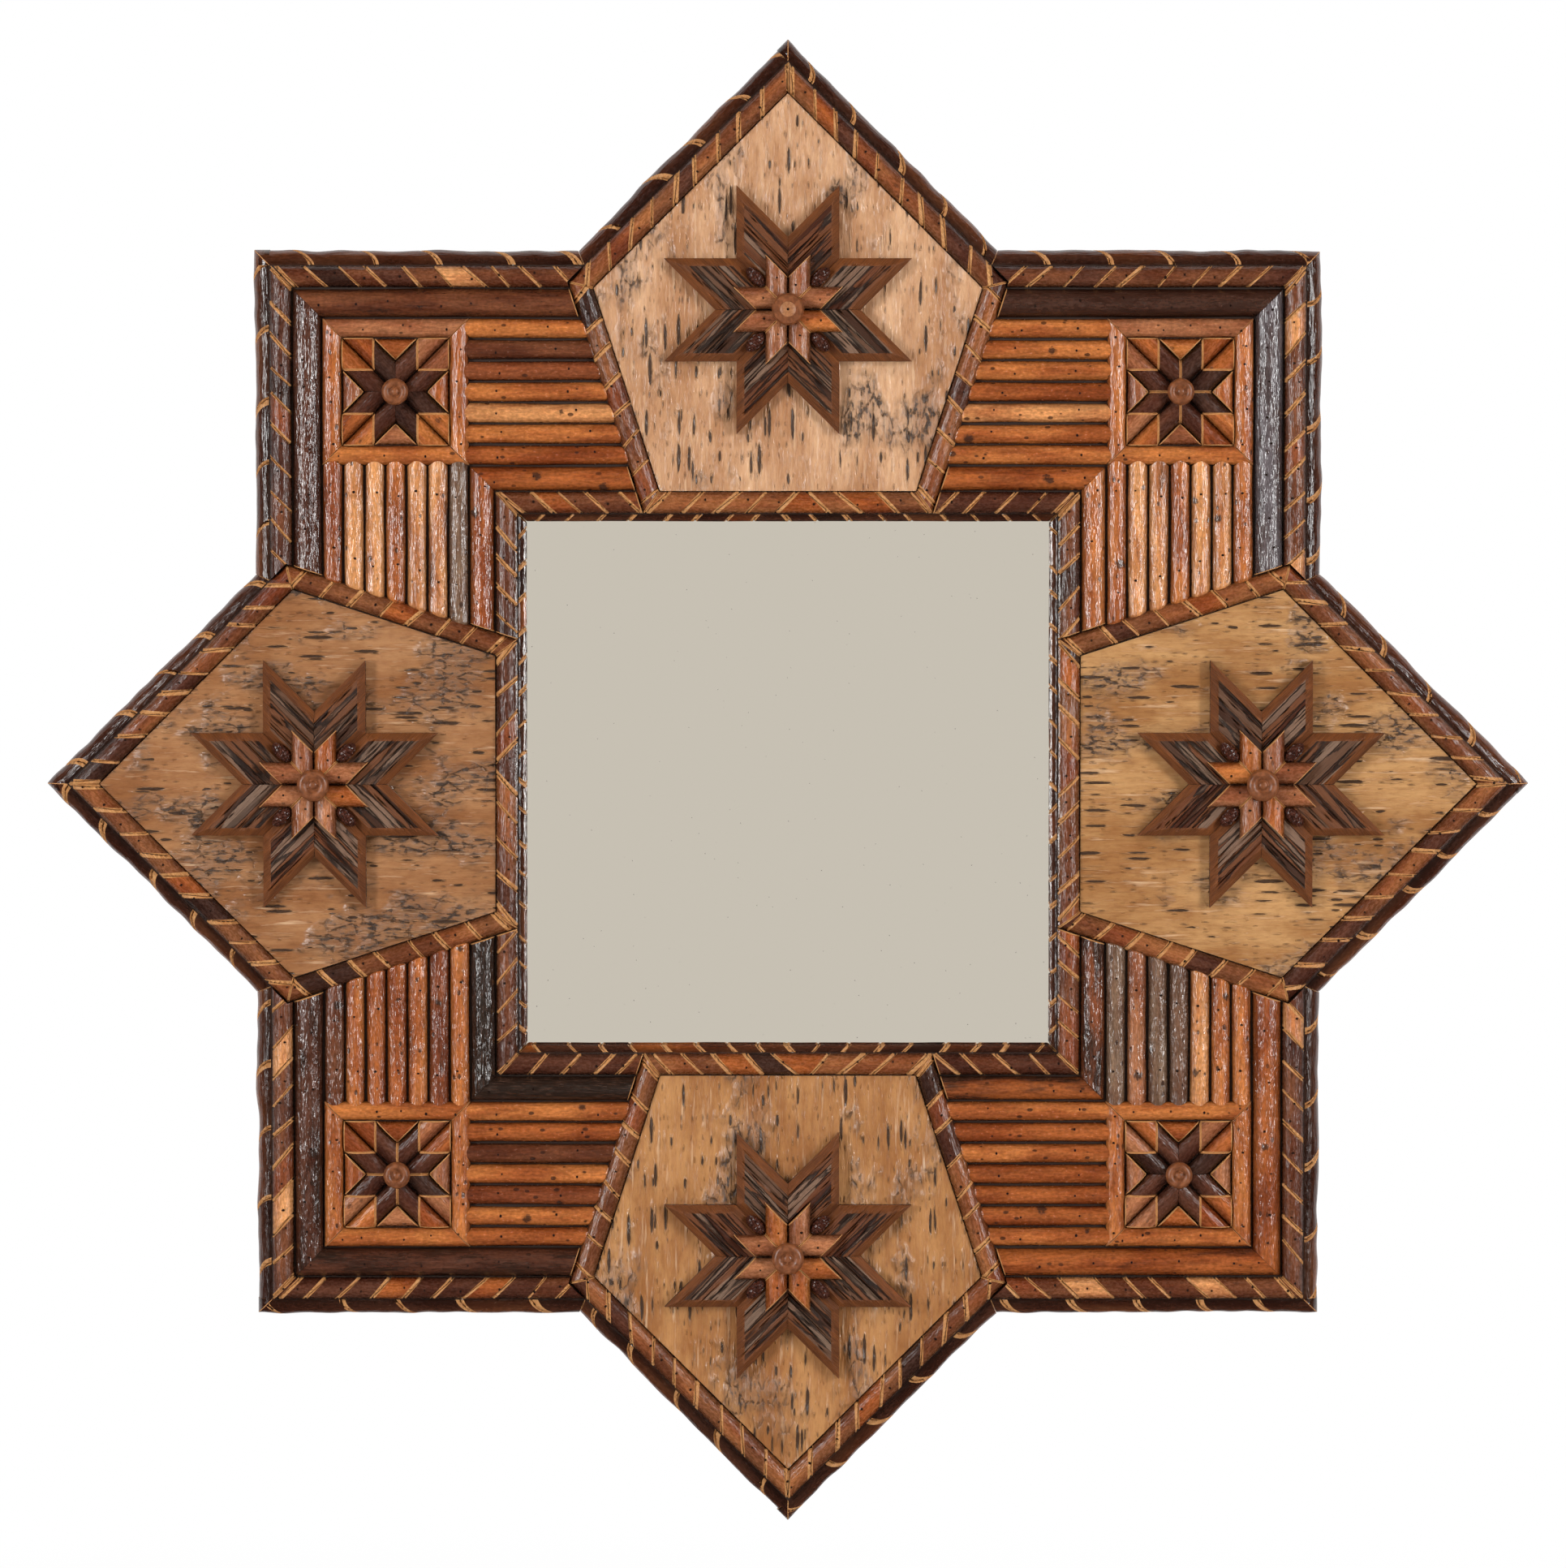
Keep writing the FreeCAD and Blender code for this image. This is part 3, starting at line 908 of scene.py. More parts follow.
def front_stick(outline: Outline, grain: Vector, rise: float, base: float, seed: float,
                ends: SawKind = SawKind.SAWN, **options: object) -> SplitStick:
    """Half-round stick on a plan outline.

    Args:
        outline: corners of the stick in the plan, before its seams.
        grain: direction of the wood.
        rise: height of the arch.
        base: height of the flat.
        seed: seed of the stick's own shape.
        ends: finish of the sawn ends.
        options: further fields of the stick.

    Returns:
        The stick, not yet built.
    """
    outline = inset(outline, PLAN.seam / 2)
    place, low, high, width = lay_flat(outline, grain, base)
    return SplitStick(place, low, high, width, rise, saws_round(outline, grain, ends), seed, **options)


def side_stick(strip: Outline, low: float, high: float, seed: float, **options: object) -> SplitStick:
    """Half-round stick on the edge of the board.

    Args:
        strip: plan of the stick, its flat side first.
        low: height of its lower side.
        high: height of its upper side.
        seed: seed of the stick's own shape.
        options: further fields of the stick.

    Returns:
        The stick, not yet built.
    """
    along = (strip[1] - strip[0]).normalized()
    outward = Vector((along.y, -along.x))
    if outward.dot(strip[2] - strip[0]) < 0:
        outward.negate()
    x, z = along.to_3d(), outward.to_3d()
    place = Matrix((x, z.cross(x), z)).transposed().to_4x4()
    place.translation = strip[0].to_3d() + Vector((0, 0, (low + high) / 2))
    runs = [(corner - strip[0]).dot(along) for corner in strip]
    rise = (strip[2] - strip[0]).dot(outward)
    saws = [saw for saw in saws_round(strip, along, SawKind.SAWN) if saw.kind is SawKind.SAWN]
    return SplitStick(place, min(runs), max(runs), high - low, rise, saws, seed, **options)


@dataclass(frozen=True)
class CutRhythm:
    """Spacing and size of the knife cuts on a rod."""

    step: float = 17.6
    width: float = 1.7
    depth: float = 1.0
    skew: float = 0.09
    lean: float = 0.0

    def spread(self, stick: SplitStick, across: Vector, dice: random.Random,
               flip_after: Optional[float] = None) -> None:
        """Puts uneven cuts along a stick.

        Args:
            stick: rod that is cut.
            across: direction of the cuts in the plan.
            dice: source of the small differences.
            flip_after: run past which the cuts are mirrored, if any.
        """
        room = stick.end - stick.start
        count = max(1, round(room / self.step))
        pitch = room / count
        for index in range(count):
            run = stick.start + (index + 0.5 + dice.uniform(-0.1, 0.1)) * pitch
            flipped = flip_after is not None and run > flip_after
            direction = Vector((-across.x, across.y)) if flipped else across
            direction = Matrix.Rotation(dice.uniform(-self.skew, self.skew), 2) @ direction
            if stick.facing(Vector((-direction.y, direction.x, 0.0))).x <= 0:
                direction = -direction
            width = self.width * dice.uniform(0.75, 1.4)
            share = dice.choice((0.28, 0.28, 0.72, 0.5))
            point = stick.place @ Vector((run, 0.0, stick.rise))
            stick.cuts.append(KnifeCut(point, direction, width * share, width * (1 - share), self.depth, self.lean))


def tone_lengths(stick: SplitStick, dice: random.Random, last: Tone, main: Tone = Tone.UMBER) -> None:
    """Gives the lengths between a rod's knife cuts tones that lie near each other.

    Args:
        stick: rod with its cuts.
        dice: source of the choice.
        last: lighter or darker tone beside the main one.
        main: tone of most lengths.
    """
    family = dice.choice(((last, main, main, main), (Tone.CHESTNUT, main, last, last)))
    rare = (Tone.RUSSET, Tone.REDWOOD, Tone.COCOA)
    stick.tones = [dice.choice(rare if dice.random() < 0.16 else family).value for _ in range(len(stick.cuts) + 1)]


def edge_rod(strip: Outline, dice: random.Random) -> SplitStick:
    """Rod on the board's edge, with cuts that lean over it as crescents.

    Args:
        strip: plan of the rod, its flat side first.
        dice: source of its own shape.

    Returns:
        The rod, not yet built.
    """
    along = (strip[1] - strip[0]).normalized()
    across = (Vector((along.y, -along.x)) + along * CUT_DRIFT).normalized()
    stick = side_stick(strip, PLAN.board_back, PLAN.board_front, fresh_seed(dice), rows=14, sway=0.3, lump=0.025,
                       chamfer=0.25, bulge=0.16, char=0.3)
    CutRhythm(step=36.0, width=2.5, depth=1.4, skew=0.16, lean=1.0).spread(stick, across, dice)
    stick.tones = [dice.choice(EDGE_TONES).value for _ in range(len(stick.cuts) + 1)]
    return stick


@dataclass
class Brads:
    """Small dark nail heads sunk into the sticks of a corner or point."""

    turn: Matrix
    dice: random.Random
    sunk: float = 0.16
    length: float = 0.5
    spread: float = 0.35

    def __post_init__(self) -> None:
        """Starts with none."""
        self.mesh = bmesh.new()

    def drive(self, stick: SplitStick, runs: Sequence[float]) -> None:
        """Drives brads into a stick.

        Args:
            stick: stick that is nailed.
            runs: places along the stick.
        """
        for run in runs:
            spot = self.turn @ stick.spot(run, self.dice.uniform(-self.spread, self.spread))
            size = self.dice.uniform(0.58, 0.82)
            stretch = Matrix.Diagonal((self.dice.uniform(0.85, 1.0), self.dice.uniform(1.0, 1.25), 1.0, 1.0))
            bmesh.ops.create_cone(self.mesh, cap_ends=True, segments=8, radius1=size, radius2=size * 0.8,
                                  depth=self.length, matrix=spot @ Matrix.Translation((0, 0, -self.sunk)) @ stretch)

    def spaced(self, stick: SplitStick, spacing: float) -> list[float]:
        """Uneven runs along the whole of a stick.

        Args:
            stick: stick that is nailed.
            spacing: mean distance of the brads.

        Returns:
            Places along the stick.
        """
        runs = []
        run = stick.start + spacing * self.dice.uniform(0.35, 0.7)
        while run < stick.end - spacing * 0.3:
            runs.append(run)
            run += spacing * self.dice.uniform(0.55, 1.45)
        return runs


class Graph:
    """Short way to add and join shader nodes in one tree."""

    def __init__(self, tree: bpy.types.NodeTree) -> None:
        """Keeps the tree."""
        self.tree = tree

    def add(self, kind: str, settings: Optional[dict[str, object]] = None, **inputs: object) -> bpy.types.Node:
        """Adds a node.

        Args:
            kind: node type without its ShaderNode prefix.
            settings: attributes of the node.
            inputs: socket names, with _ for spaces, and their values or the sockets that feed them.

        Returns:
            The new node.
        """
        node = self.tree.nodes.new("ShaderNode" + kind)
        for key, value in (settings or {}).items():
            setattr(node, key, value)
        self.fill(node, **inputs)
        return node

    def fill(self, node: bpy.types.Node, **inputs: object) -> None:
        """Sets or joins some inputs of a node, named as in add."""
        for key, value in inputs.items():
            self.feed(node.inputs[key.replace("_", " ")], value)

    def feed(self, socket: Socket, value: object) -> None:
        """Joins a socket to another or sets its value.

        Args:
            socket: input that is fed.
            value: a plain value, or the output that feeds it.
        """
        if isinstance(value, Socket):
            self.tree.links.new(value, socket)
        else:
            socket.default_value = value

    def result(self, kind: str, setting: str, choice: str, *values: object) -> Socket:
        """First output of a new node.

        Args:
            kind: node type without its ShaderNode prefix.
            setting: attribute that says what the node does.
            choice: value of that attribute.
            values: values or sockets for its inputs, in order.

        Returns:
            The output.
        """
        node = self.add(kind, {setting: choice})
        for socket, value in zip(node.inputs, values):
            self.feed(socket, value)
        return node.outputs[0]

    def math(self, operation: str, *values: object) -> Socket:
        """Result of a math node on up to three values."""
        return self.result("Math", "operation", operation, *values)

    def times(self, *values: object) -> Socket:
        """Product of two or more values."""
        return reduce(lambda first, second: self.math("MULTIPLY", first, second), values)

    def total(self, *parts: tuple[object, object]) -> Socket:
        """Sum of values times their weights."""
        first = self.math("MULTIPLY", *parts[0])
        return reduce(lambda sofar, part: self.math("MULTIPLY_ADD", *part, sofar), parts[1:], first)

    def swing(self, value: object, weight: object, base: object) -> Socket:
        """Noise that swings round a base by a weight."""
        return self.math("MULTIPLY_ADD", self.math("SUBTRACT", value, 0.5), weight, base)

    def vector(self, operation: str, first: object, second: object) -> Socket:
        """Result of a vector math node on two vectors."""
        return self.result("VectorMath", "operation", operation, first, second)

    def scaled(self, vector: Socket, factors: tuple[float, float, float]) -> Socket:
        """Vector multiplied part by part."""
        return self.vector("MULTIPLY", vector, factors)

    def grown(self, vector: Socket, factor: Socket) -> Socket:
        """Vector or colour multiplied by one number."""
        return self.add("VectorMath", {"operation": "SCALE"}, Vector=vector, Scale=factor).outputs[0]

    def warped(self, grain: Socket, scale: tuple[float, float]) -> Socket:
        """Stretched and slightly uneven grain coordinates.

        Args:
            grain: grain coordinates.
            scale: cells per metre along and across the grain.

        Returns:
            The new coordinates.
        """
        jitter = self.add("TexNoise", Vector=self.scaled(grain, (260.0, 700.0, 1.0)), Scale=1.0, Detail=2.0)
        uneven = self.scaled(jitter.outputs["Color"], (0.2, 0.3, 0.0))
        return self.vector("ADD", self.scaled(grain, (*scale, 1.0)), uneven)

    def cloud(self, vector: Socket, factors: tuple[float, float, float], detail: float = 3.0) -> Socket:
        """Noise from 0 to 1 at its own scale along and across the grain."""
        node = self.add("TexNoise", Vector=self.scaled(vector, factors), Scale=1.0, Detail=detail, Roughness=0.6)
        return node.outputs[0]

    def cells(self, vector: Socket) -> tuple[Socket, bpy.types.NodeOutputs]:
        """Distance from the middle of scattered cells, and three chances of each cell."""
        node = self.add("TexVoronoi", Vector=vector, Scale=1.0)
        return node.outputs["Distance"], self.add("SeparateColor", Color=node.outputs["Color"]).outputs

    def seams(self, vector: Socket) -> Socket:
        """Distance from the edges of scattered cells."""
        node = self.add("TexVoronoi", {"feature": "DISTANCE_TO_EDGE"}, Vector=vector, Scale=1.0)
        return node.outputs["Distance"]

    def ramp(self, value: object, low: float, high: float, first: float = 0.0, last: float = 1.0) -> Socket:
        """Smooth step of a value between two levels, from a first result to a last one."""
        return self.result("MapRange", "interpolation_type", "SMOOTHSTEP", value, low, high, first, last)

    def mix(self, factor: object, first: object, second: object, blend: str = "MIX") -> Socket:
        """Mixed colour."""
        return self.result("MixRGB", "blend_type", blend, factor, first, second)

    def tinted(self, factor: object, colour: object, tint: Colour) -> Socket:
        """Colour multiplied by a tint as far as a factor says."""
        return self.mix(factor, colour, self.mix(1.0, colour, tint, "MULTIPLY"))

    def coat(self, colour: object, mask: object, share: float, second: object) -> Socket:
        """Colour with a second one over it where a mask shows, up to a share."""
        return self.mix(self.times(mask, share), colour, second)

    def layer(self, name: str) -> Socket:
        """Grain coordinates, tone or value that a piece's mesh carries.

        Args:
            name: name of the layer.

        Returns:
            The layer's output.
        """
        if name == GRAIN:
            return self.add("UVMap", {"uv_map": GRAIN}).outputs[0]
        return self.add("Attribute", {"attribute_name": name}).outputs["Color" if name == TONE else "Fac"]

    def place(self) -> Socket:
        """Object coordinates."""
        return self.add("TexCoord").outputs["Object"]


class NodeGroups:
    """Shared surface effects."""

    SKIN: dict[str, str] = {"Color": "Color", "Roughness": "Float", "Height": "Float"}

    def __init__(self) -> None:
        """Builds each group once."""
        self.bark = self.bark_skin()
        self.wood = self.wood_fibre()
        self.birch = self.birch_skin()

    @staticmethod
    def start(name: str, inputs: dict[str, str], outputs: dict[str, str]) -> tuple[Graph, dict[str, Socket]]:
        """Opens a new group.

        Args:
            name: name of the group.
            inputs: kind of each input by its name.
            outputs: kind of each output by its name.

        Returns:
            A graph on the group, and its inputs by name.
        """
        tree = bpy.data.node_groups.new(name, "ShaderNodeTree")
        for side, sockets in (("INPUT", inputs), ("OUTPUT", outputs)):
            for label, kind in sockets.items():
                tree.interface.new_socket(label, in_out=side, socket_type="NodeSocket" + kind)
        source = tree.nodes.new("NodeGroupInput")
        return Graph(tree), {socket.name: socket for socket in source.outputs}

    @staticmethod
    def finish(graph: Graph, **results: Socket) -> bpy.types.NodeTree:
        """Joins the results to the group's outputs.

        Args:
            graph: graph on the group.
            results: what feeds each output.

        Returns:
            The finished group.
        """
        sink = graph.tree.nodes.new("NodeGroupOutput")
        for label, socket in results.items():
            graph.feed(sink.inputs[label], socket)
        return graph.tree

    def bark_skin(self) -> bpy.types.NodeTree:
        """Fibres, blotches, char and knots of bark along a stick's own grain, with painted shade down the sides of each
        arch.

        Returns:
            The finished group.
        """
        inputs = {"Grain": "Vector", "Tone": "Color"}
        inputs |= dict.fromkeys(("Char", "Knot", "Valley", "Streak", "Fleck", "Rough"), "Float")
        graph, given = self.start("bark_skin", inputs, self.SKIN)
        grain = given["Grain"]
        fibre = graph.cloud(grain, (130.0, 1150.0, 1.0), 4.0)
        ridge = graph.cloud(grain, (90.0, 460.0, 1.0), 2.0)
        wave = graph.cloud(grain, (38.0, 170.0, 1.0), 4.0)
        patch = graph.cloud(grain, (16.0, 70.0, 1.0), 5.0)
        mottle = graph.cloud(grain, (380.0, 620.0, 1.0), 5.0)
        distance, chance = graph.cells(graph.scaled(grain, (165.0, 260.0, 1.0)))
        size = graph.ramp(chance[1], 0.0, 1.0, 0.13, 0.29)
        pore = graph.ramp(graph.math("SUBTRACT", distance, size), -0.06, 0.05, 1.0, 0.0)
        fleck = graph.times(pore, graph.math("GREATER_THAN", chance[0], 0.74), given["Fleck"])
        # Painted shade: the bark darkens down the arch's sides towards the gaps between sticks, and a slight painted
        # highlight lifts the crest.
        valley_shade = graph.swing(wave, 0.5, given["Valley"])
        light = graph.times(
            graph.swing(fibre, graph.times(given["Streak"], 2.2), 1.0),
            graph.ramp(wave, 0.3, 0.7, 0.8, 1.18),
            graph.ramp(mottle, 0.36, 0.64, 0.76, 1.14),
            graph.ramp(valley_shade, 0.2, 1.0, 1.1, 0.34),
            graph.ramp(patch, 0.36, 0.66, 1.12, 0.8),
        )
        shaded = graph.grown(given["Tone"], light)
        ruddy = graph.tinted(graph.ramp(patch, 0.4, 0.62, 0.0, 0.75), shaded, srgb(226, 190, 176))
        burnt = graph.ramp(graph.total((patch, 0.6), (wave, 0.4), (given["Char"], 1.0)), 0.93, 1.12)
        ash = graph.mix(graph.ramp(fibre, 0.45, 0.7), srgb(34, 21, 14), srgb(68, 45, 34))
        skin = graph.coat(ruddy, burnt, 0.92, ash)
        stain = graph.swing(mottle, 1.5, given["Knot"])
        skin = graph.mix(graph.ramp(stain, 0.42, 0.78, 0.0, 0.85), skin, srgb(40, 26, 20))
        skin = graph.coat(skin, fleck, 0.85, srgb(48, 26, 17))
        rough = graph.math("ADD", graph.ramp(mottle, 0.3, 0.7, 0.0, 0.14), given["Rough"])
        height = graph.total((fibre, 0.08), (ridge, 2.0), (wave, 0.5), (fleck, -0.25))
        return self.finish(graph, Color=skin, Roughness=rough, Height=height)

    def wood_fibre(self) -> bpy.types.NodeTree:
        """Streaks of bare wood along the grain.

        Returns:
            The finished group.
        """
        inputs = {"Grain": "Vector", "Light": "Color", "Dark": "Color", "Scale": "Float"}
        graph, given = self.start("wood_fibre", inputs, {"Color": "Color", "Height": "Float"})
        scaled = graph.grown(given["Grain"], given["Scale"])
        fine = graph.cloud(scaled, (120.0, 2100.0, 2100.0), 4.0)
        broad = graph.cloud(scaled, (25.0, 240.0, 240.0), 3.0)
        blend = graph.ramp(graph.total((broad, 0.4), (fine, 0.6)), 0.3, 0.7)
        return self.finish(graph, Color=graph.mix(blend, given["Dark"], given["Light"]), Height=blend)

    def birch_skin(self) -> bpy.types.NodeTree:
        """Pale bark with long dark lenticels, fine dashes, raised lips and scars.

        Returns:
            The finished group.
        """
        graph, given = self.start("birch_skin", {"Grain": "Vector", "Tone": "Color", "Char": "Float"}, self.SKIN)
        grain = given["Grain"]
        streak = graph.cloud(grain, (26.0, 300.0, 1.0), 4.0)
        cloud = graph.cloud(grain, (12.0, 34.0, 1.0), 5.0)
        zone = graph.math("ADD", graph.cloud(grain, (15.0, 26.0, 1.0), 3.0), given["Char"])
        crumbs = graph.cloud(grain, (150.0, 340.0, 1.0), 6.0)
        ripple = graph.cloud(grain, (75.0, 420.0, 1.0), 3.0)
        buckle = graph.cloud(grain, (60.0, 105.0, 1.0), 1.0)
        long_slit, long_lip = self.slits(graph, grain, (40.0, 370.0), 0.66, (0.1, 0.38))
        short_slit, short_lip = self.slits(graph, grain, (84.0, 380.0), 0.8, (0.06, 0.32))
        slit, lip = graph.math("MAXIMUM", long_slit, short_slit), graph.math("MAXIMUM", long_lip, short_lip)
        dash, dash_lip = self.slits(graph, grain, (170.0, 640.0), 0.76, (0.06, 0.26))
        base = graph.tinted(graph.ramp(cloud, 0.36, 0.66, 0.0, 0.95), given["Tone"], srgb(206, 186, 168))
        base = graph.tinted(graph.ramp(streak, 0.4, 0.62, 0.0, 0.4), base, srgb(216, 192, 172))
        base = graph.tinted(graph.ramp(crumbs, 0.46, 0.66, 0.0, 0.3), base, srgb(196, 180, 166))
        base = graph.mix(graph.ramp(streak, 0.57, 0.72, 0.0, 0.55), base, srgb(226, 190, 152))
        worn = graph.ramp(zone, 0.52, 0.66)
        base = graph.mix(graph.times(worn, graph.ramp(crumbs, 0.36, 0.64, 0.25, 0.8)), base, srgb(122, 92, 70))
        seams = graph.seams(graph.warped(grain, (75.0, 150.0)))
        crack = graph.times(graph.ramp(seams, 0.015, 0.09, 1.0, 0.0), worn, graph.ramp(crumbs, 0.42, 0.56))
        scar = graph.times(graph.ramp(zone, 0.58, 0.68), graph.ramp(crumbs, 0.54, 0.6))
        base = graph.coat(base, graph.math("MAXIMUM", scar, crack), 0.88, srgb(52, 39, 31))
        base = graph.coat(base, lip, 0.35, srgb(176, 132, 92))
        base = graph.coat(base, slit, 0.94, srgb(54, 38, 30))
        base = graph.coat(base, dash, 0.7, srgb(92, 66, 48))
        rough = graph.total((scar, 0.2), (graph.ramp(streak, 0.3, 0.7, 0.16, 0.3), 1.0))
        height = graph.total((lip, 0.5), (ripple, 0.8), (streak, 0.35), (dash_lip, 0.55), (slit, -0.55),
                             (graph.times(worn, crumbs), 1.1), (graph.times(worn, buckle), 2.6), (crack, -0.6))
        return self.finish(graph, Color=base, Roughness=rough, Height=height)

    @staticmethod
    def slits(graph: Graph, grain: Socket, scale: tuple[float, float], rarity: float,
              sizes: tuple[float, float]) -> tuple[Socket, Socket]:
        """Long spots along the grain, each with a lip round it.

        Args:
            graph: graph of the group.
            grain: grain coordinates.
            scale: cells per metre along and across the grain.
            rarity: share of the cells that stay empty.
            sizes: least and greatest size of a spot, in cells.

        Returns:
            Masks of the spots and of their lips.
        """
        distance, chance = graph.cells(graph.warped(grain, scale))
        chosen = graph.math("GREATER_THAN", chance[0], rarity)
        gap = graph.math("SUBTRACT", distance, graph.ramp(chance[1], 0.0, 1.0, *sizes))
        slit = graph.times(graph.ramp(gap, -0.06, 0.02, 1.0, 0.0), chosen)
        return slit, graph.times(graph.ramp(gap, 0.0, 0.2, 1.0, 0.0), chosen)


@dataclass(frozen=True)
class SkinFinish:
    """Varnished bark of a kind of stick or sheet."""

    name: str
    streak: float = 0.5
    fleck: float = 0.5
    relief: float = 0.001
    specular: float = 0.5
    rough: float = 0.2

    def material(self, group: bpy.types.NodeTree) -> Material:
        """Builds the material.

        Args:
            group: effect that paints this bark.

        Returns:
            The new material.
        """
        graph, shader, material = open_material(self.name)
        skin = graph.add("Group", {"node_tree": group})
        own = {"Streak": self.streak, "Fleck": self.fleck, "Rough": self.rough}
        for socket in skin.inputs:
            graph.feed(socket, own[socket.name] if socket.name in own else graph.layer(socket.name.lower()))
        colour, rough, height = skin.outputs
        graph.fill(shader, Base_Color=colour, Roughness=rough, Specular_IOR_Level=self.specular)
        add_bump(graph, shader, height, 1.0, self.relief)
        return material


@dataclass(frozen=True)
class RidgedFinish:
    """Weathered bark in long ridges, with brown and grey strips and dark fissures, their darkness partly the bark's own
    and partly painted shade.
    """

    name: str = "ridged_bark"
    relief: float = 0.0012
    specular: float = 0.22

    def material(self) -> Material:
        """Builds the material.

        Returns:
            The new material.
        """
        graph, shader, material = open_material(self.name)
        grain, tone, deep = graph.layer(GRAIN), graph.layer(TONE), graph.layer(DEPTH)
        warped = graph.warped(grain, (17.0, 330.0))
        chance = graph.cells(warped)[1]
        fibre = graph.cloud(grain, (60.0, 1500.0, 1.0), 4.0)
        base = graph.tinted(graph.ramp(chance[0], 0.28, 0.32, 1.0, 0.0), tone, srgb(176, 160, 152))
        base = graph.mix(graph.ramp(chance[0], 0.58, 0.62, 0.0, 0.85), base, srgb(108, 64, 38))
        base = graph.mix(graph.ramp(chance[1], 0.7, 0.74, 0.0, 0.75), base, srgb(130, 104, 86))
        base = graph.mix(graph.ramp(fibre, 0.52, 0.7, 0.0, 0.6), base, srgb(58, 40, 32))
        fissure = graph.times(graph.ramp(graph.seams(warped), 0.02, 0.13, 1.0, 0.0), graph.ramp(chance[2], 0.3, 0.36))
        # Painted shade: the fissure colour also darkens where the petal's carved fissures lie deep.
        fissure = graph.math("MAXIMUM", fissure, graph.ramp(deep, 0.45, 0.9, 0.0, 0.75))
        graph.fill(shader, Base_Color=graph.coat(base, fissure, 0.9, srgb(34, 24, 20)),
                   Roughness=graph.ramp(fibre, 0.3, 0.7, 0.34, 0.6), Specular_IOR_Level=self.specular)
        add_bump(graph, shader, graph.total((fibre, 0.5), (chance[0], 0.5), (fissure, -0.9)), 1.0, self.relief)
        return material


@dataclass(frozen=True)
class WoodFinish:
    """Bare wood of sawn ends, knife cuts and bevels, with painted shade at the bottom of a cut."""

    name: str
    light: Colour
    dark: Colour
    # Colour of the painted shade at the bottom of a cut.
    floor: Colour
    rough: float = 0.45
    bump: float = 0.35
    scale: float = 1.0
    relief: float = 0.0004
    specular: float = 0.3

    def material(self, group: bpy.types.NodeTree) -> Material:
        """Builds the material.

        Args:
            group: effect that paints the fibres.

        Returns:
            The new material.
        """
        graph, shader, material = open_material(self.name)
        fibre = graph.add("Group", {"node_tree": group}, Grain=graph.layer(GRAIN), Light=self.light, Dark=self.dark,
                          Scale=self.scale)
        # Painted shade: the floor colour darkens the wood where the depth layer marks the bottom of a cut or fissure.
        colour = graph.mix(graph.ramp(graph.layer(DEPTH), 0.62, 0.92), fibre.outputs["Color"], self.floor)
        graph.fill(shader, Base_Color=colour, Roughness=self.rough, Specular_IOR_Level=self.specular)
        add_bump(graph, shader, fibre.outputs["Height"], self.bump, self.relief)
        return material


@dataclass(frozen=True)
class PlainFinish:
    """Fine-grained finish on object coordinates: steel, rubber, card, board and seeds."""

    name: str
    light: Colour
    dark: Colour
    stretch: tuple[float, float, float]
    rough: tuple[float, float] = (0.4, 0.6)
    metallic: float = 0.0
    bump: float = 0.2
    relief: float = 0.0004
    specular: float = 0.5

    def material(self) -> Material:
        """Builds the material.

        Returns:
            The new material.
        """
        graph, shader, material = open_material(self.name)
        grain = graph.cloud(graph.place(), self.stretch, 5.0)
        colour = graph.mix(graph.ramp(grain, 0.3, 0.7), self.dark, self.light)
        graph.fill(shader, Base_Color=colour, Roughness=graph.ramp(grain, 0.3, 0.7, *self.rough),
                   Metallic=self.metallic, Specular_IOR_Level=self.specular)
        add_bump(graph, shader, grain, self.bump, self.relief)
        return material


def open_material(name: str) -> tuple[Graph, bpy.types.Node, Material]:
    """New node material.

    Args:
        name: name of the finish.

    Returns:
        A graph on its tree, its principled shader and the material.
    """
    material = bpy.data.materials.new(name)
    material.use_nodes = True
    return Graph(material.node_tree), material.node_tree.nodes["Principled BSDF"], material


def add_bump(graph: Graph, shader: bpy.types.Node, height: Socket, strength: float, distance: float) -> None:
    """Joins a height to a shader's normal."""
    bump = graph.add("Bump", Height=height, Strength=strength, Distance=distance)
    graph.feed(shader.inputs["Normal"], bump.outputs[0])


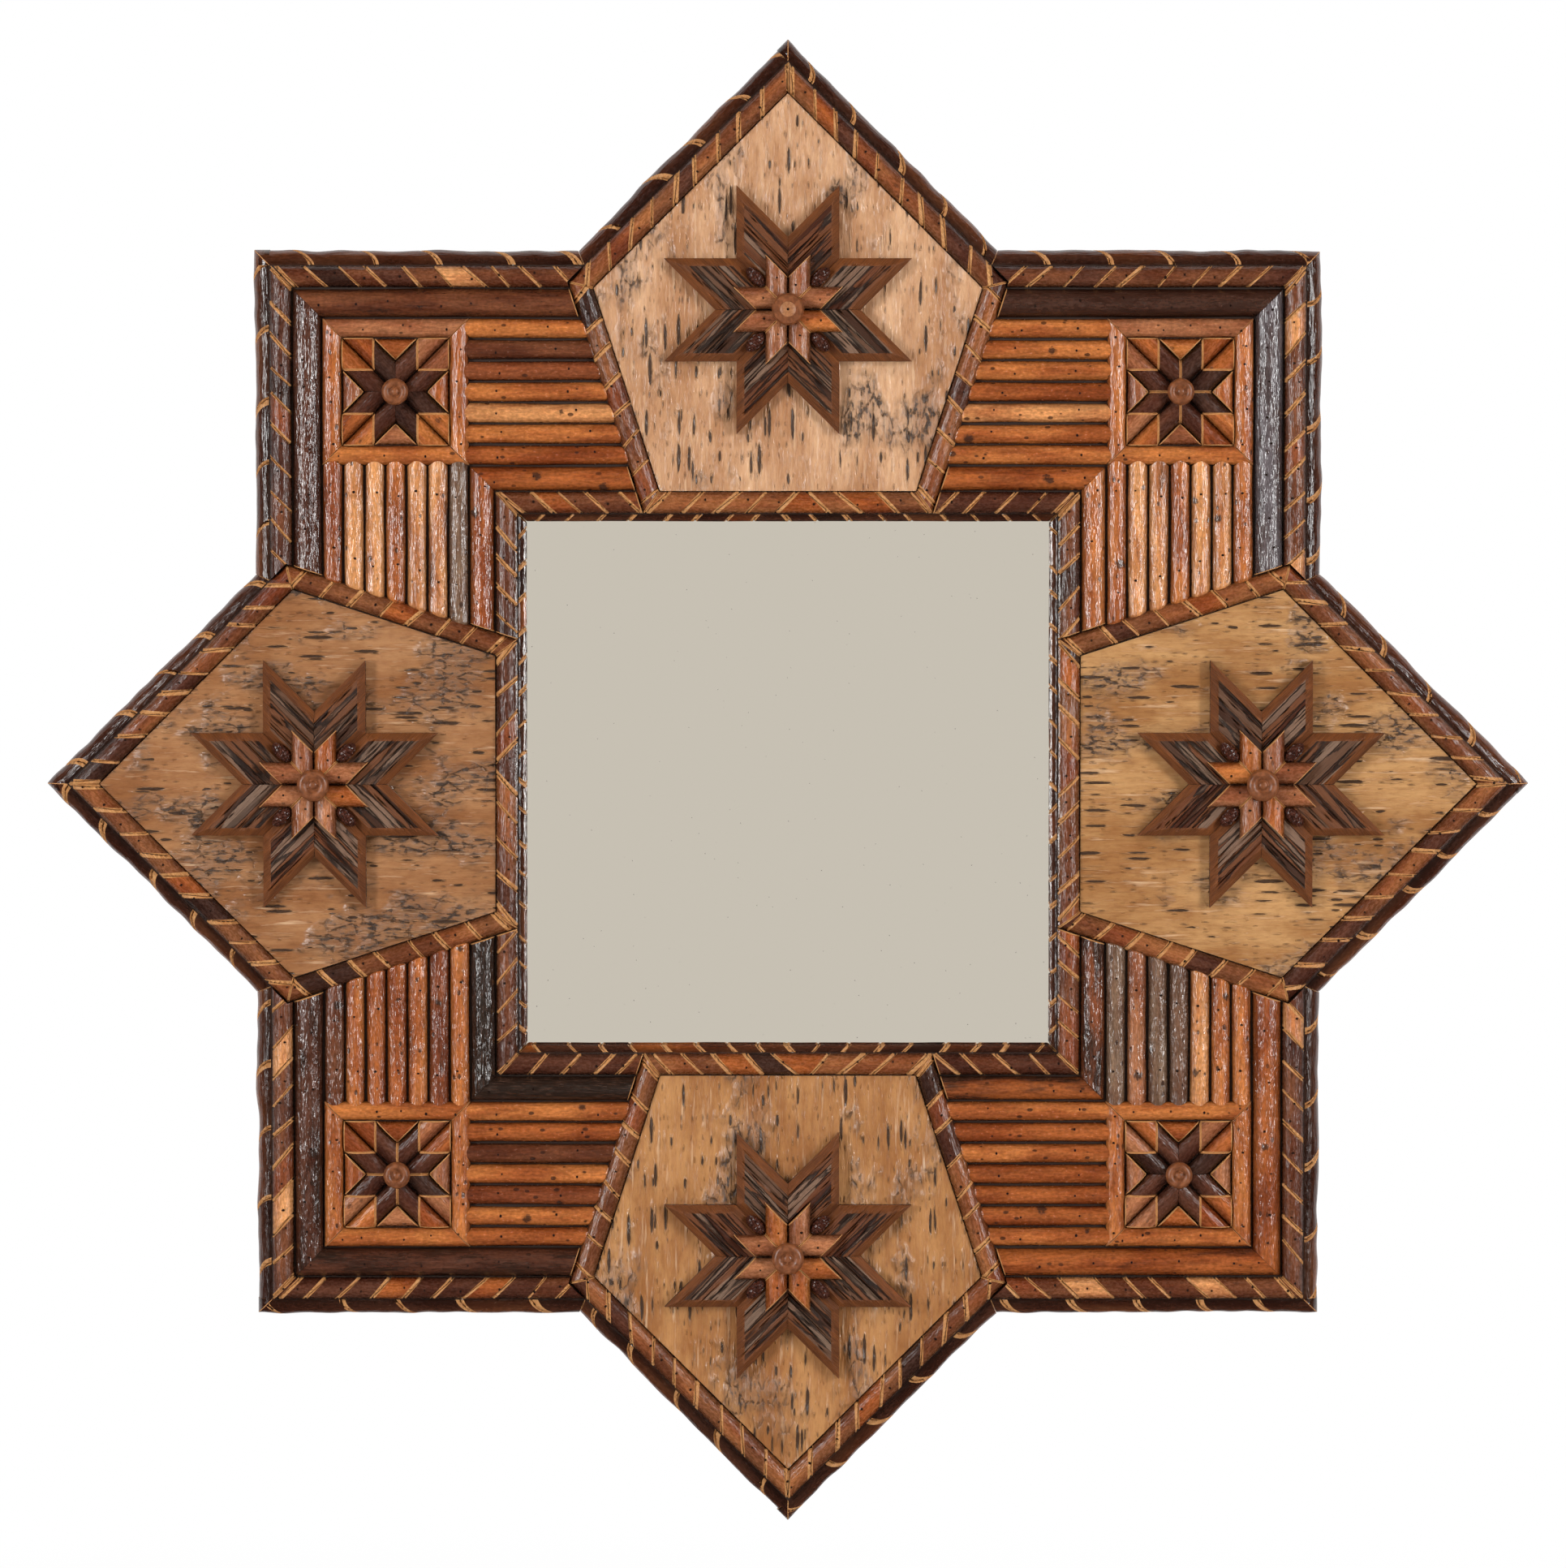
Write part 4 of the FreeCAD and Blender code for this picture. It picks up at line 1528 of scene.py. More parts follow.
class Finishes:
    """Every finish of the mirror, built once."""

    def __init__(self) -> None:
        """Builds the materials."""
        groups = NodeGroups()
        bark, wood = groups.bark, groups.wood
        self.rod = SkinFinish("rod_bark", streak=0.4, relief=0.0004).material(bark)
        self.edge = SkinFinish("edge_bark", streak=0.3, fleck=0.3, relief=0.00025, rough=0.14).material(bark)
        self.twig = SkinFinish("twig_bark", streak=0.3, fleck=0.95, relief=0.0005, specular=0.75,
                               rough=0.14).material(bark)
        self.border = SkinFinish("border_bark", streak=0.4, fleck=0.8, relief=0.0005, specular=0.85,
                                 rough=0.12).material(bark)
        self.petal = SkinFinish("petal_bark", streak=0.3, fleck=0.7, relief=0.0004, specular=0.45).material(bark)
        self.birch = SkinFinish("birch_sheet", relief=0.0011).material(groups.birch)
        self.ridged = RidgedFinish().material()
        self.cut = WoodFinish("cut_wood", srgb(206, 152, 96), srgb(164, 106, 58), srgb(46, 25, 13)).material(wood)
        self.end = WoodFinish("twig_end", srgb(186, 126, 76), srgb(140, 82, 44), srgb(60, 32, 18)).material(wood)
        self.sawn = WoodFinish("sawn_bevel", srgb(130, 73, 33), srgb(78, 40, 16), srgb(56, 28, 10), rough=0.5,
                               bump=0.8).material(wood)
        self.brad = PlainFinish("brad_iron", srgb(38, 22, 15), srgb(20, 11, 8), (900.0, 900.0, 900.0),
                                (0.8, 0.95), specular=0.1).material()
        self.cup = PlainFinish("seed_cup", srgb(138, 80, 44), srgb(96, 52, 28), (420.0, 420.0, 420.0), (0.28, 0.45),
                               bump=0.35).material()
        self.button = PlainFinish("button_face", srgb(172, 116, 74), srgb(138, 86, 50), (900.0, 300.0, 900.0),
                                  (0.35, 0.5)).material()
        self.cone = PlainFinish("hemlock_cone", srgb(84, 40, 24), srgb(44, 20, 14), (500.0, 500.0, 500.0),
                                (0.25, 0.4), bump=0.3).material()
        self.steel = PlainFinish("zinc_steel", srgb(176, 176, 172), srgb(150, 150, 147), (300.0, 300.0, 300.0),
                                 (0.2, 0.32), metallic=1.0, bump=0.05).material()
        self.rubber = PlainFinish("bumper_rubber", srgb(52, 50, 48), srgb(38, 36, 35), (800.0, 800.0, 800.0),
                                  (0.6, 0.75)).material()
        self.card = PlainFinish("packing_card", srgb(176, 152, 118), srgb(150, 126, 96), (60.0, 60.0, 400.0),
                                (0.8, 0.9)).material()
        self.hardboard = PlainFinish("hardboard", srgb(128, 88, 56), srgb(98, 64, 40), (700.0, 700.0, 700.0),
                                     (0.5, 0.7)).material()
        self.plywood = self.plywood_board()
        self.mirror = self.silvered_glass()

    @staticmethod
    def plywood_board() -> Material:
        """Plywood with a long grain behind, veneers at its edges and a dark stain in front.

        Returns:
            The new material.
        """
        graph, shader, material = open_material("plywood")
        place = graph.place()
        fine = graph.cloud(place, (26.0, 900.0, 620.0), 5.0)
        broad = graph.cloud(place, (2.2, 60.0, 26.0), 3.0)
        rings = graph.math("FRACT", graph.total((fine, 0.6), (broad, 9.0)))
        veneer = graph.mix(graph.ramp(rings, 0.1, 0.9), srgb(206, 164, 112), srgb(178, 132, 82))
        veneer = graph.mix(graph.ramp(fine, 0.55, 0.75, 0.0, 0.55), veneer, srgb(150, 104, 62))
        depth = graph.add("SeparateXYZ", Vector=place).outputs[1]
        stain = graph.ramp(depth, -0.0262, -0.0258, 1.0, 0.0)
        graph.fill(shader, Base_Color=graph.mix(stain, veneer, srgb(46, 28, 18)),
                   Roughness=graph.ramp(fine, 0.3, 0.7, 0.5, 0.68))
        add_bump(graph, shader, fine, 0.25, 0.0004)
        return material

    @staticmethod
    def silvered_glass() -> Material:
        """Mirror with a few dull specks.

        Returns:
            The new material.
        """
        graph, shader, material = open_material("silvered_glass")
        place = graph.place()
        speck = graph.ramp(graph.cells(graph.scaled(place, (150.0, 150.0, 150.0)))[0], 0.03, 0.07, 1.0, 0.0)
        haze = graph.ramp(graph.cloud(place, (6.0, 6.0, 6.0), 3.0), 0.3, 0.7, 0.0, 0.02)
        colour = graph.coat(srgb(250, 250, 248), speck, 0.5, srgb(255, 255, 255))
        graph.fill(shader, Base_Color=colour, Roughness=graph.total((speck, 0.3), (haze, 1.0)), Metallic=1.0)
        return material


@dataclass(frozen=True)
class CornerTones:
    """Tones of one corner's sticks, from the outside in, on its leading and trailing arms."""

    leading: tuple[Tone, ...]
    trailing: tuple[Tone, ...]
    borders: tuple[tuple[Tone, float], ...]
    peeled: tuple[tuple[int, ...], tuple[int, ...]]


T = Tone
EDGE_TONES = (T.CHESTNUT, T.UMBER, T.CHESTNUT)
CORNER_TONES = {
    "top_left": CornerTones(
        (T.TAN, T.UMBER, T.REDWOOD, T.TAN, T.HONEY, T.TAN, T.RUSSET),
        (T.RUSSET, T.HONEY, T.HONEY, T.TAN, T.HONEY, T.HONEY, T.GREY),
        ((T.UMBER, 0.43), (T.CHESTNUT, 0.42), (T.RUSSET, 0.15), (T.RUSSET, 0.1)),
        ((6,), ()),
    ),
    "top_right": CornerTones(
        (T.TAN, T.HONEY, T.HONEY, T.TAN, T.HONEY, T.HONEY, T.TAN),
        (T.TAN, T.TAN, T.TAN, T.RUSSET, T.HONEY, T.TAN, T.TAN),
        ((T.SLATE, 0.2), (T.COCOA, 0.42), (T.TAN, 0.2), (T.RUSSET, 0.4)),
        ((2, 10), ()),
    ),
    "bottom_right": CornerTones(
        (T.TAN, T.RUSSET, T.RUSSET, T.RUSSET, T.TAN, T.RUSSET, T.TAN),
        (T.TAN, T.TAN, T.HONEY, T.DRIFTWOOD, T.GREY, T.FAWN, T.GREY),
        ((T.RUSSET, 0.42), (T.RUSSET, 0.36), (T.RUSSET, 0.52), (T.REDWOOD, 0.54)),
        ((3, 7), (3,)),
    ),
    "bottom_left": CornerTones(
        (T.UMBER, T.TAN, T.RUSSET, T.RUSSET, T.TAN, T.REDWOOD, T.TAN),
        (T.RUSSET, T.TAN, T.REDWOOD, T.TAN, T.UMBER, T.RUSSET, T.TAN),
        ((T.CHESTNUT, 0.48), (T.CHESTNUT, 0.5), (T.CHARCOAL, 0.6), (T.CHARCOAL, 0.6)),
        ((3, 8), ()),
    ),
}


@dataclass
class Quarter:
    """One of the star's four corners or points, worked out at the top and turned into place."""

    name: str
    turns: int
    finishes: Finishes
    luck: int = 0

    def __post_init__(self) -> None:
        """Sets the quarter's turn, its own chances and its brads."""
        self.turn = quarter_turn(self.turns)
        self.dice = random.Random(self.luck + self.turns)
        self.brads = Brads(self.turn, self.dice)

    def seed(self) -> float:
        """Fresh seed for a piece."""
        return fresh_seed(self.dice)

    def hand_over(self, *groups: tuple[str, str, Sequence[SawnPiece], Sequence[Material], str]) -> None:
        """Builds each group of pieces into one object, and then the brads.

        Args:
            groups: solid, label, pieces, finishes and slot of each group; the slot is not used.
        """
        for node, label, pieces, materials, slot in groups:
            build_group(f"{label}_{self.name}", pieces, self.turn, materials, f"{node}_{self.name}")
        mount(f"brads_{self.name}", self.brads.mesh, [self.finishes.brad], ())


@dataclass
class CornerWork(Quarter):
    """Rods, twig fields and mosaic block of one corner, worked out for the top left one."""

    luck: int = 101
    coping: float = 0.38

    def __post_init__(self) -> None:
        """Looks up the corner's tones and the centre of its block."""
        super().__post_init__()
        self.tones = CORNER_TONES[self.name]
        self.centre = Vector((-PLAN.block_centre, PLAN.block_centre))

    @staticmethod
    def beside_point(trailing: bool) -> list[Saw]:
        """Planes of the neighbouring point's frame on this corner's side, facing into the corner."""
        saws = saws_round(inset(PLAN.point_outline(), -PLAN.seam / 2), RIGHT, SawKind.SAWN)[0:2]
        return [saw.crossed() for saw in saws] if trailing else saws

    def taper(self, trailing: bool, kind: SawKind) -> Saw:
        """Saw cut along the neighbouring point's tapered rod.

        Args:
            trailing: whether it ends the trailing arm.
            kind: finish of the cut.

        Returns:
            The cut, leaning over if it is rounded.
        """
        saw = self.beside_point(trailing)[1]
        point = Vector((saw.point.x, saw.point.y, PLAN.board_front))
        return Saw(point, -saw.outward, kind, self.coping if kind is SawKind.ROUNDED else 0.0)

    @staticmethod
    def arms(outside: float, inside: float) -> list[tuple[Outline, Vector, bool]]:
        """Plan outlines of two mitred rods.

        Args:
            outside: outer distance from the star's centre.
            inside: inner distance from the star's centre.

        Returns:
            Outline, grain and whether it is the trailing arm, for each rod.
        """
        outline = outline_of((-outside, outside), (-inside, inside), (0.0, inside), (0.0, outside))
        return [(outline, RIGHT, False), (swapped(outline), UP, True)]

    def rod(self, outline: Outline, grain: Vector, trailing: bool, rise: float, **options: object) -> SplitStick:
        """Mitred rod of the corner, sawn off along the point's frame.

        Args:
            outline: plan of the rod.
            grain: direction of the wood.
            trailing: whether it lies on the trailing arm.
            rise: height of the arch.
            options: further fields of the stick.

        Returns:
            The rod, not yet built.
        """
        stick = front_stick(outline, grain, rise, PLAN.board_front, self.seed(), **options)
        stick.saws.append(self.taper(trailing, SawKind.SAWN))
        nearest = PLAN.foot_width / 2 - PLAN.seam
        if trailing:
            stick.start = nearest
        else:
            stick.end = -nearest
        return stick

    def trim_rods(self) -> list[SplitStick]:
        """Notched rods along the outer edge and along the mirror.

        Returns:
            The rods, not yet built.
        """
        rods = []
        bands = ((PLAN.board_half, PLAN.trim_inside, True), (PLAN.inner_border_inside, PLAN.opening_half, False))
        for outside, inside, outer in bands:
            for outline, grain, trailing in self.arms(outside, inside):
                stick = self.rod(outline, grain, trailing, PLAN.trim_rise)
                if outer:
                    stick.saws.pop()
                    stick.hollow = self.beside_point(trailing)
                CutRhythm().spread(stick, DIAGONAL, self.dice)
                tone_lengths(stick, self.dice, T.CHESTNUT)
                for index in self.tones.peeled[int(trailing)] if outer else ():
                    stick.tones[index] = T.PEELED.value
                stick.char = self.dice.uniform(0.05, 0.3)
                runs = self.brads.spaced(stick, ROD_BRADS)
                self.brads.drive(stick, [run for run in runs if not outer or self.clear(run)])
                rods.append(stick)
        return rods

    @staticmethod
    def clear(run: float) -> bool:
        """Whether a place on an outer rod lies well outside the point's frame."""
        return abs(run) > PLAN.notch + PLAN.trim_width

    def edge_rods(self) -> list[SplitStick]:
        """Rods on the board's edge."""
        return [edge_rod(strip, self.dice) for strip in mitred_sides(PLAN.board_outline(), -PLAN.edge_rise)[1:3]]

    def border_rods(self) -> list[SplitStick]:
        """Broad rods outside and inside the twig fields.

        Returns:
            The rods, not yet built.
        """
        rods = []
        bands = (
            (PLAN.trim_inside, PLAN.block_outside, PLAN.border_rise),
            (PLAN.block_inside, PLAN.inner_border_inside, PLAN.inner_border_rise),
        )
        tones = iter(self.tones.borders)
        for outside, inside, rise in bands:
            for outline, grain, trailing in self.arms(outside, inside):
                tone, char = next(tones)
                stick = self.rod(outline, grain, trailing, rise, rows=12, tones=[tone.value], char=char, sway=0.4)
                stick.saws[:-1] = [saw.plain() for saw in stick.saws[:-1]]
                stick.knots = self.knots(stick, 2)
                self.brads.drive(stick, [run for run in self.brads.spaced(stick, BORDER_BRADS) if self.clear(run)])
                rods.append(stick)
        return rods

    def knots(self, stick: SplitStick, most: int) -> list[Knot]:
        """A few knots along a stick.

        Args:
            stick: stick that gets the knots.
            most: greatest number of knots.

        Returns:
            The knots, or none.
        """
        found = []
        for _ in range(self.dice.randint(0, most)):
            run = self.dice.uniform(stick.start + 12, stick.end - 12)
            arc = self.dice.uniform(-0.45, 0.45) * stick.width
            found.append(Knot(run, arc, self.dice.uniform(1.8, 4.2), self.dice.uniform(0.2, 0.6)))
        return found

    def twig_fields(self) -> list[SplitStick]:
        """Parallel twigs on both arms, coped over the block's frame.

        Returns:
            The twigs, not yet built.
        """
        pitch = PLAN.block_side / PLAN.twig_count
        frame_middle = -PLAN.block_inside - PLAN.block_twig_width / 2
        frame_radius = (PLAN.block_twig_width**2 / 4 + PLAN.block_twig_rise**2) / (2 * PLAN.block_twig_rise)

        def over_frame(height: float) -> float:
            """Run at which a twig's arch meets the frame's arch."""
            level = min(frame_radius, height + frame_radius - PLAN.block_twig_rise)
            return frame_middle + math.sqrt(frame_radius**2 - level**2) + 0.25

        twigs = []
        for trailing, tones in ((False, self.tones.leading), (True, self.tones.trailing)):
            for row, tone in enumerate(tones):
                top = PLAN.block_outside - row * pitch
                low = top - pitch
                outline = outline_of((frame_middle, top), (frame_middle, low), (0.0, low), (0.0, top))
                grain = RIGHT
                if trailing:
                    outline, grain = swapped(outline), -UP
                stick = front_stick(outline, grain, PLAN.twig_rise, PLAN.board_front, self.seed(), SawKind.PLAIN,
                                    tones=[tone.value], char=self.dice.choice((0.24, 0.34, 0.38, 0.41)), lump=0.06,
                                    sway=0.45, relief=0.2, lead=over_frame, foot_start=-PLAN.block_inside + 0.2,
                                    fullness=TWIG_FULLNESS)
                stick.end = 2 - PLAN.foot_width / 2
                stick.saws = [saw for saw in stick.saws if abs(saw.outward.dot(grain.to_3d())) < 0.1]
                stick.saws.append(self.taper(trailing, SawKind.ROUNDED))
                stick.knots = self.knots(stick, 1)
                last = self.taper_run(top - pitch / 2)
                self.brads.drive(stick, [frame_middle + 22 + self.dice.uniform(-2, 2),
                                         last - 18 + self.dice.uniform(-3, 3)])
                twigs.append(stick)
        return twigs

    @staticmethod
    def taper_run(level: float) -> float:
        """Run at which a row of the leading arm meets the point's tapered rod."""
        _, shoulder, foot = PLAN.point_outline()[:3]
        return foot.x + (level - foot.y) / (shoulder.y - foot.y) * (shoulder.x - foot.x)

    def block_frame(self) -> list[SplitStick]:
        """Four mitred twigs round the block.

        Returns:
            The twigs, not yet built.
        """
        sides = []
        for strip in mitred_sides(square(PLAN.block_side / 2), PLAN.block_twig_width):
            grain = (strip[1] - strip[0]).normalized()
            tone = self.dice.choice((T.TAN, T.FAWN, T.TAN))
            stick = front_stick(shifted(strip, self.centre), grain, PLAN.block_twig_rise, PLAN.board_front,
                                self.seed(), tones=[tone.value], chamfer=0.35, cell=1.6, fullness=TWIG_FULLNESS)
            self.brads.drive(stick, self.brads.spaced(stick, FRAME_BRADS))
            sides.append(stick)
        return sides

    def fillers(self) -> list[tuple[Outline, Vector]]:
        """Triangles round the block's star.

        Returns:
            Outline and grain of each triangle.
        """
        side = PLAN.mosaic_side
        slant = side / math.sqrt(2)
        reach = side + slant
        corner = outline_of((-reach, reach), (-slant, reach), (-slant, slant))
        edge = outline_of((0.0, side), (slant, reach), (-slant, reach))
        found = []
        for quarter in range(4):
            for outline, grain in ((edge, RIGHT), (corner, DIAGONAL), (swapped(corner), DIAGONAL)):
                found.append((shifted(turned(outline, quarter), self.centre), turned([grain], quarter)[0]))
        return found

    def mosaic(self, outlines: list[tuple[Outline, Vector]], tones: tuple[Tone, ...]) -> list[SplitStick]:
        """Small sawn sticks of the block's star, whose joints at the centre stay dark in every other corner.

        Args:
            outlines: outline and grain of each stick.
            tones: tones to choose from.

        Returns:
            The sticks, not yet built.
        """
        centre = self.centre.to_3d()
        sticks = []
        for outline, grain in outlines:
            stick = front_stick(outline, grain, PLAN.mosaic_rise, PLAN.board_front, self.seed(), cell=1.2, rows=10,
                                chamfer=0.6, tones=[self.dice.choice(tones).value],
                                char=self.dice.choice((0.0, 0.1, 0.25)), sway=0.0, lump=0.02)
            if self.turns % 2 == 0:
                stick.saws = [saw if abs((saw.point - centre).dot(saw.outward)) > 1 else saw.plain()
                              for saw in stick.saws]
            sticks.append(stick)
        return sticks

    def build(self) -> None:
        """Builds every piece of the corner."""
        look = self.finishes
        petals = [(outline, grain) for outline, grain, _ in star_petals(PLAN.mosaic_side, self.centre)]
        dark = (T.COCOA, T.CHESTNUT, T.CHESTNUT)
        pale = (T.TAN, T.FAWN, T.FAWN, T.RUSSET)
        small, twig = (look.petal, look.cut), (look.twig, look.end)
        self.hand_over(
            ("edge_rods", "corner_edge", self.edge_rods(), (look.edge, look.cut), "edge_bark"),
            ("trim_rods", "notched_trim", self.trim_rods(), (look.rod, look.cut), "notched_bark"),
            ("border_rods", "broad_rods", self.border_rods(), (look.border, look.cut), "border_bark"),
            ("twig_fields", "twigs", self.twig_fields(), twig, "twig_bark"),
            ("block_frame", "block_twigs", self.block_frame(), twig, "block_bark"),
            ("corner_star_petals", "dark_petals", self.mosaic(petals, dark), small, "dark_petal_bark"),
            ("corner_star_fillers", "triangles", self.mosaic(self.fillers(), pale), small, "filler_bark"),
        )


def build_group(name: str, pieces: Sequence[SawnPiece], turn: Matrix, materials: Sequence[Material],
                node: str) -> None:
    """Builds several pieces into one object that stands for a solid.

    Args:
        name: name of the object.
        pieces: pieces to build.
        turn: quarter turn of their corner or point.
        materials: bark and cut wood.
        node: solid that they stand for.
    """
    bm = new_mesh()
    for piece in pieces:
        piece.build(bm, turn)
    mount(name, bm, materials, (node,))


def star_petals(side: float, centre: Vector) -> list[tuple[Outline, Vector, Vector]]:
    """Rhombuses of an eight-petal star.

    Args:
        side: side of the petals.
        centre: centre of the star in the plan.

    Returns:
        Outline, diagonal grain and axis of each petal.
    """
    slant = side / math.sqrt(2)
    left = outline_of((0.0, 0.0), (0.0, side), (-slant, side + slant), (-slant, slant))
    right = [Vector((-corner.x, corner.y)) for corner in reversed(left)]
    found = []
    for quarter in range(4):
        for outline, grain in ((left, DIAGONAL), (right, COUNTER_DIAGONAL)):
            found.append((shifted(turned(outline, quarter), centre), *turned([grain, UP], quarter)))
    return found


BIRCH_TONES = {
    "top": (srgb(211, 166, 127), 0.0),
    "right": (srgb(190, 144, 94), 0.02),
    "bottom": (srgb(186, 134, 84), 0.02),
    "left": (srgb(170, 122, 82), 0.06),
}


@dataclass
class PointWork(Quarter):
    """Bark sheet, notched frame and layered star of one point, worked out for the top one."""

    luck: int = 211
    sheet_cell: float = 1.3
    ridge_cell: float = 0.7

    def __post_init__(self) -> None:
        """Keeps the centre of the point's star."""
        super().__post_init__()
        self.centre = Vector((0.0, PLAN.star_centre))

    def sheet(self) -> list[BarkSheet]:
        """Bark sheet inside the frame, its grain up the point.

        Returns:
            The one sheet, not yet built.
        """
        outline = inset(PLAN.point_outline(), PLAN.trim_width + PLAN.seam / 2)
        place, low, high, width = lay_flat(outline, UP, PLAN.board_front)
        saws = saws_round(outline, UP, SawKind.PLAIN)
        tone, worn = BIRCH_TONES[self.name]
        return [BarkSheet(place, low, high, width, PLAN.sheet_thickness, saws, self.seed(), cell=self.sheet_cell,
                          rows=round(width / self.sheet_cell), tones=[tone], char=worn)]

    def frame_rods(self) -> list[SplitStick]:
        """Five mitred notched rods round the sheet.

        Returns:
            The rods, not yet built.
        """
        directions = (UP, COUNTER_DIAGONAL, COUNTER_DIAGONAL, DIAGONAL, UP)
        rods = []
        for strip, across in zip(mitred_sides(PLAN.point_outline(), PLAN.trim_width), directions):
            grain = (strip[1] - strip[0]).normalized()
            stick = front_stick(strip, grain, PLAN.trim_rise, PLAN.board_front, self.seed())
            foot = abs(grain.y) < 0.01
            CutRhythm(width=2.2).spread(stick, across, self.dice, 0.0 if foot else None)
            tone_lengths(stick, self.dice, T.COPPER, T.WALNUT)
            stick.char = self.dice.uniform(0.05, 0.3)
            self.brads.drive(stick, self.brads.spaced(stick, ROD_BRADS))
            rods.append(stick)
        return rods

    def edge_rods(self) -> list[SplitStick]:
        """Rods on the point's edge."""
        strips = mitred_sides(PLAN.board_outline(), -PLAN.edge_rise)
        return [edge_rod(strip, self.dice) for strip in (strips[-1], strips[0])]

    def large_star(self) -> list[BarkPetal]:
        """Eight thick petals of ridged bark, bevelled where they don't meet on an axis.

        Returns:
            The petals, not yet built.
        """
        pieces = []
        for outline, grain, axis in star_petals(PLAN.large_side, self.centre):
            outline = inset(outline, PLAN.seam / 2)
            place, low, high, width = lay_flat(outline, grain, PLAN.large_base)
            saws = saws_round(outline, grain, SawKind.PLAIN)
            across = Vector((-axis.y, axis.x, 0.0))
            bevelled = [saw for saw in saws if abs((saw.point - self.centre.to_3d()).dot(across)) > 1.0
                        or abs(saw.outward.dot(across)) < 0.9]
            tone = self.dice.choice((T.DRIFTWOOD, T.DRIFTWOOD, T.UMBER))
            pieces.append(BarkPetal(place, low, high, width, PLAN.large_thickness, saws, self.seed(), cell=1.0,
                                    rows=round(width / self.ridge_cell), tones=[tone.value],
                                    char=self.dice.uniform(0.3, 0.42), bevel=PLAN.large_bevel, bevelled=bevelled))
        return pieces

    def small_star(self) -> list[SplitStick]:
        """Eight half-round petals along the star's axes.

        Returns:
            The petals, not yet built.
        """
        sticks = []
        for outline, _, axis in star_petals(PLAN.small_side, self.centre):
            stick = front_stick(outline, axis, PLAN.small_rise, PLAN.small_base, self.seed(), cell=1.2, chamfer=0.5,
                                tones=[self.dice.choice((T.FAWN, T.FAWN, T.TAN)).value], sway=0.0, lump=0.02)
            self.brads.drive(stick, [(stick.start + stick.end) / 2 + self.dice.uniform(-3, 3)])
            sticks.append(stick)
        return sticks

    def build(self) -> None:
        """Builds every piece of the point."""
        look = self.finishes
        self.hand_over(
            ("bark_panel", "birch_sheet", self.sheet(), (look.birch, look.cut), "birch_bark"),
            ("point_frame_rods", "notched_frame", self.frame_rods(), (look.rod, look.cut), "notched_bark"),
            ("point_edge_rods", "point_edge", self.edge_rods(), (look.edge, look.cut), "edge_bark"),
            ("large_star", "ridged_star", self.large_star(), (look.ridged, look.sawn), "rough_bark"),
            ("small_star", "smooth_star", self.small_star(), (look.petal, look.cut), "small_petal_bark"),
        )


@dataclass
class MirrorOpening:
    """Lining rods round the glass, and the glass itself."""

    finishes: Finishes
    nodes: dict[str, bpy.types.Object]

    def build(self) -> None:
        """Builds the lining and dresses the glass."""
        dice = random.Random(307)
        rods = []
        for strip in mitred_sides(square(PLAN.opening_half), PLAN.lining_rise):
            stick = side_stick(strip, PLAN.lining_back, PLAN.board_front, fresh_seed(dice), rows=10, sway=0.2)
            self.chevrons(stick, dice)
            tone_lengths(stick, dice, T.CHESTNUT)
            rods.append(stick)
        materials = (self.finishes.edge, self.finishes.cut)
        build_group("lining", rods, Matrix.Identity(4), materials, "lining_rods")
        dress(self.nodes["mirror_glass"], self.finishes.mirror)

    @staticmethod
    def chevrons(stick: SplitStick, dice: random.Random) -> None:
        """Makes knife cuts that lean away from the middle of a side.

        Args:
            stick: lining rod of the side.
            dice: source of the small differences.
        """
        CutRhythm(step=18.6, width=1.9, depth=0.9).spread(stick, COUNTER_DIAGONAL, dice)
        along, outward = stick.place.col[0].to_2d(), stick.place.col[2].to_2d()
        middle = (stick.start + stick.end) / 2
        for index, cut in enumerate(stick.cuts):
            sign = 1.0 if (stick.local @ cut.point).x < middle else -1.0
            direction = (along * sign - outward).normalized()
            if along.dot(Vector((-direction.y, direction.x))) <= 0:
                direction = -direction
            stick.cuts[index] = replace(cut, across=direction, lean=dice.uniform(-0.1, 0.1))


def dress(obj: bpy.types.Object, material: Material) -> None:
    """Gives a solid a single finish."""
    obj.data.materials.clear()
    obj.data.materials.append(material)


def spun(profile: Sequence[tuple[float, float]], steps: int) -> BMesh:
    """Solid turned from a half section.

    Args:
        profile: distances from the axis and heights, from one end to the other.
        steps: number of sides.

    Returns:
        The closed mesh.
    """
    bm = bmesh.new()
    verts = [bm.verts.new((x, 0.0, z)) for x, z in profile]
    edges = [bm.edges.new(pair) for pair in zip(verts, verts[1:])]
    bmesh.ops.spin(bm, geom=verts + edges, cent=(0, 0, 0), axis=(0, 0, 1), angle=math.tau, steps=steps,
                   use_merge=True)
    bmesh.ops.remove_doubles(bm, verts=bm.verts[:], dist=0.002)
    return bm


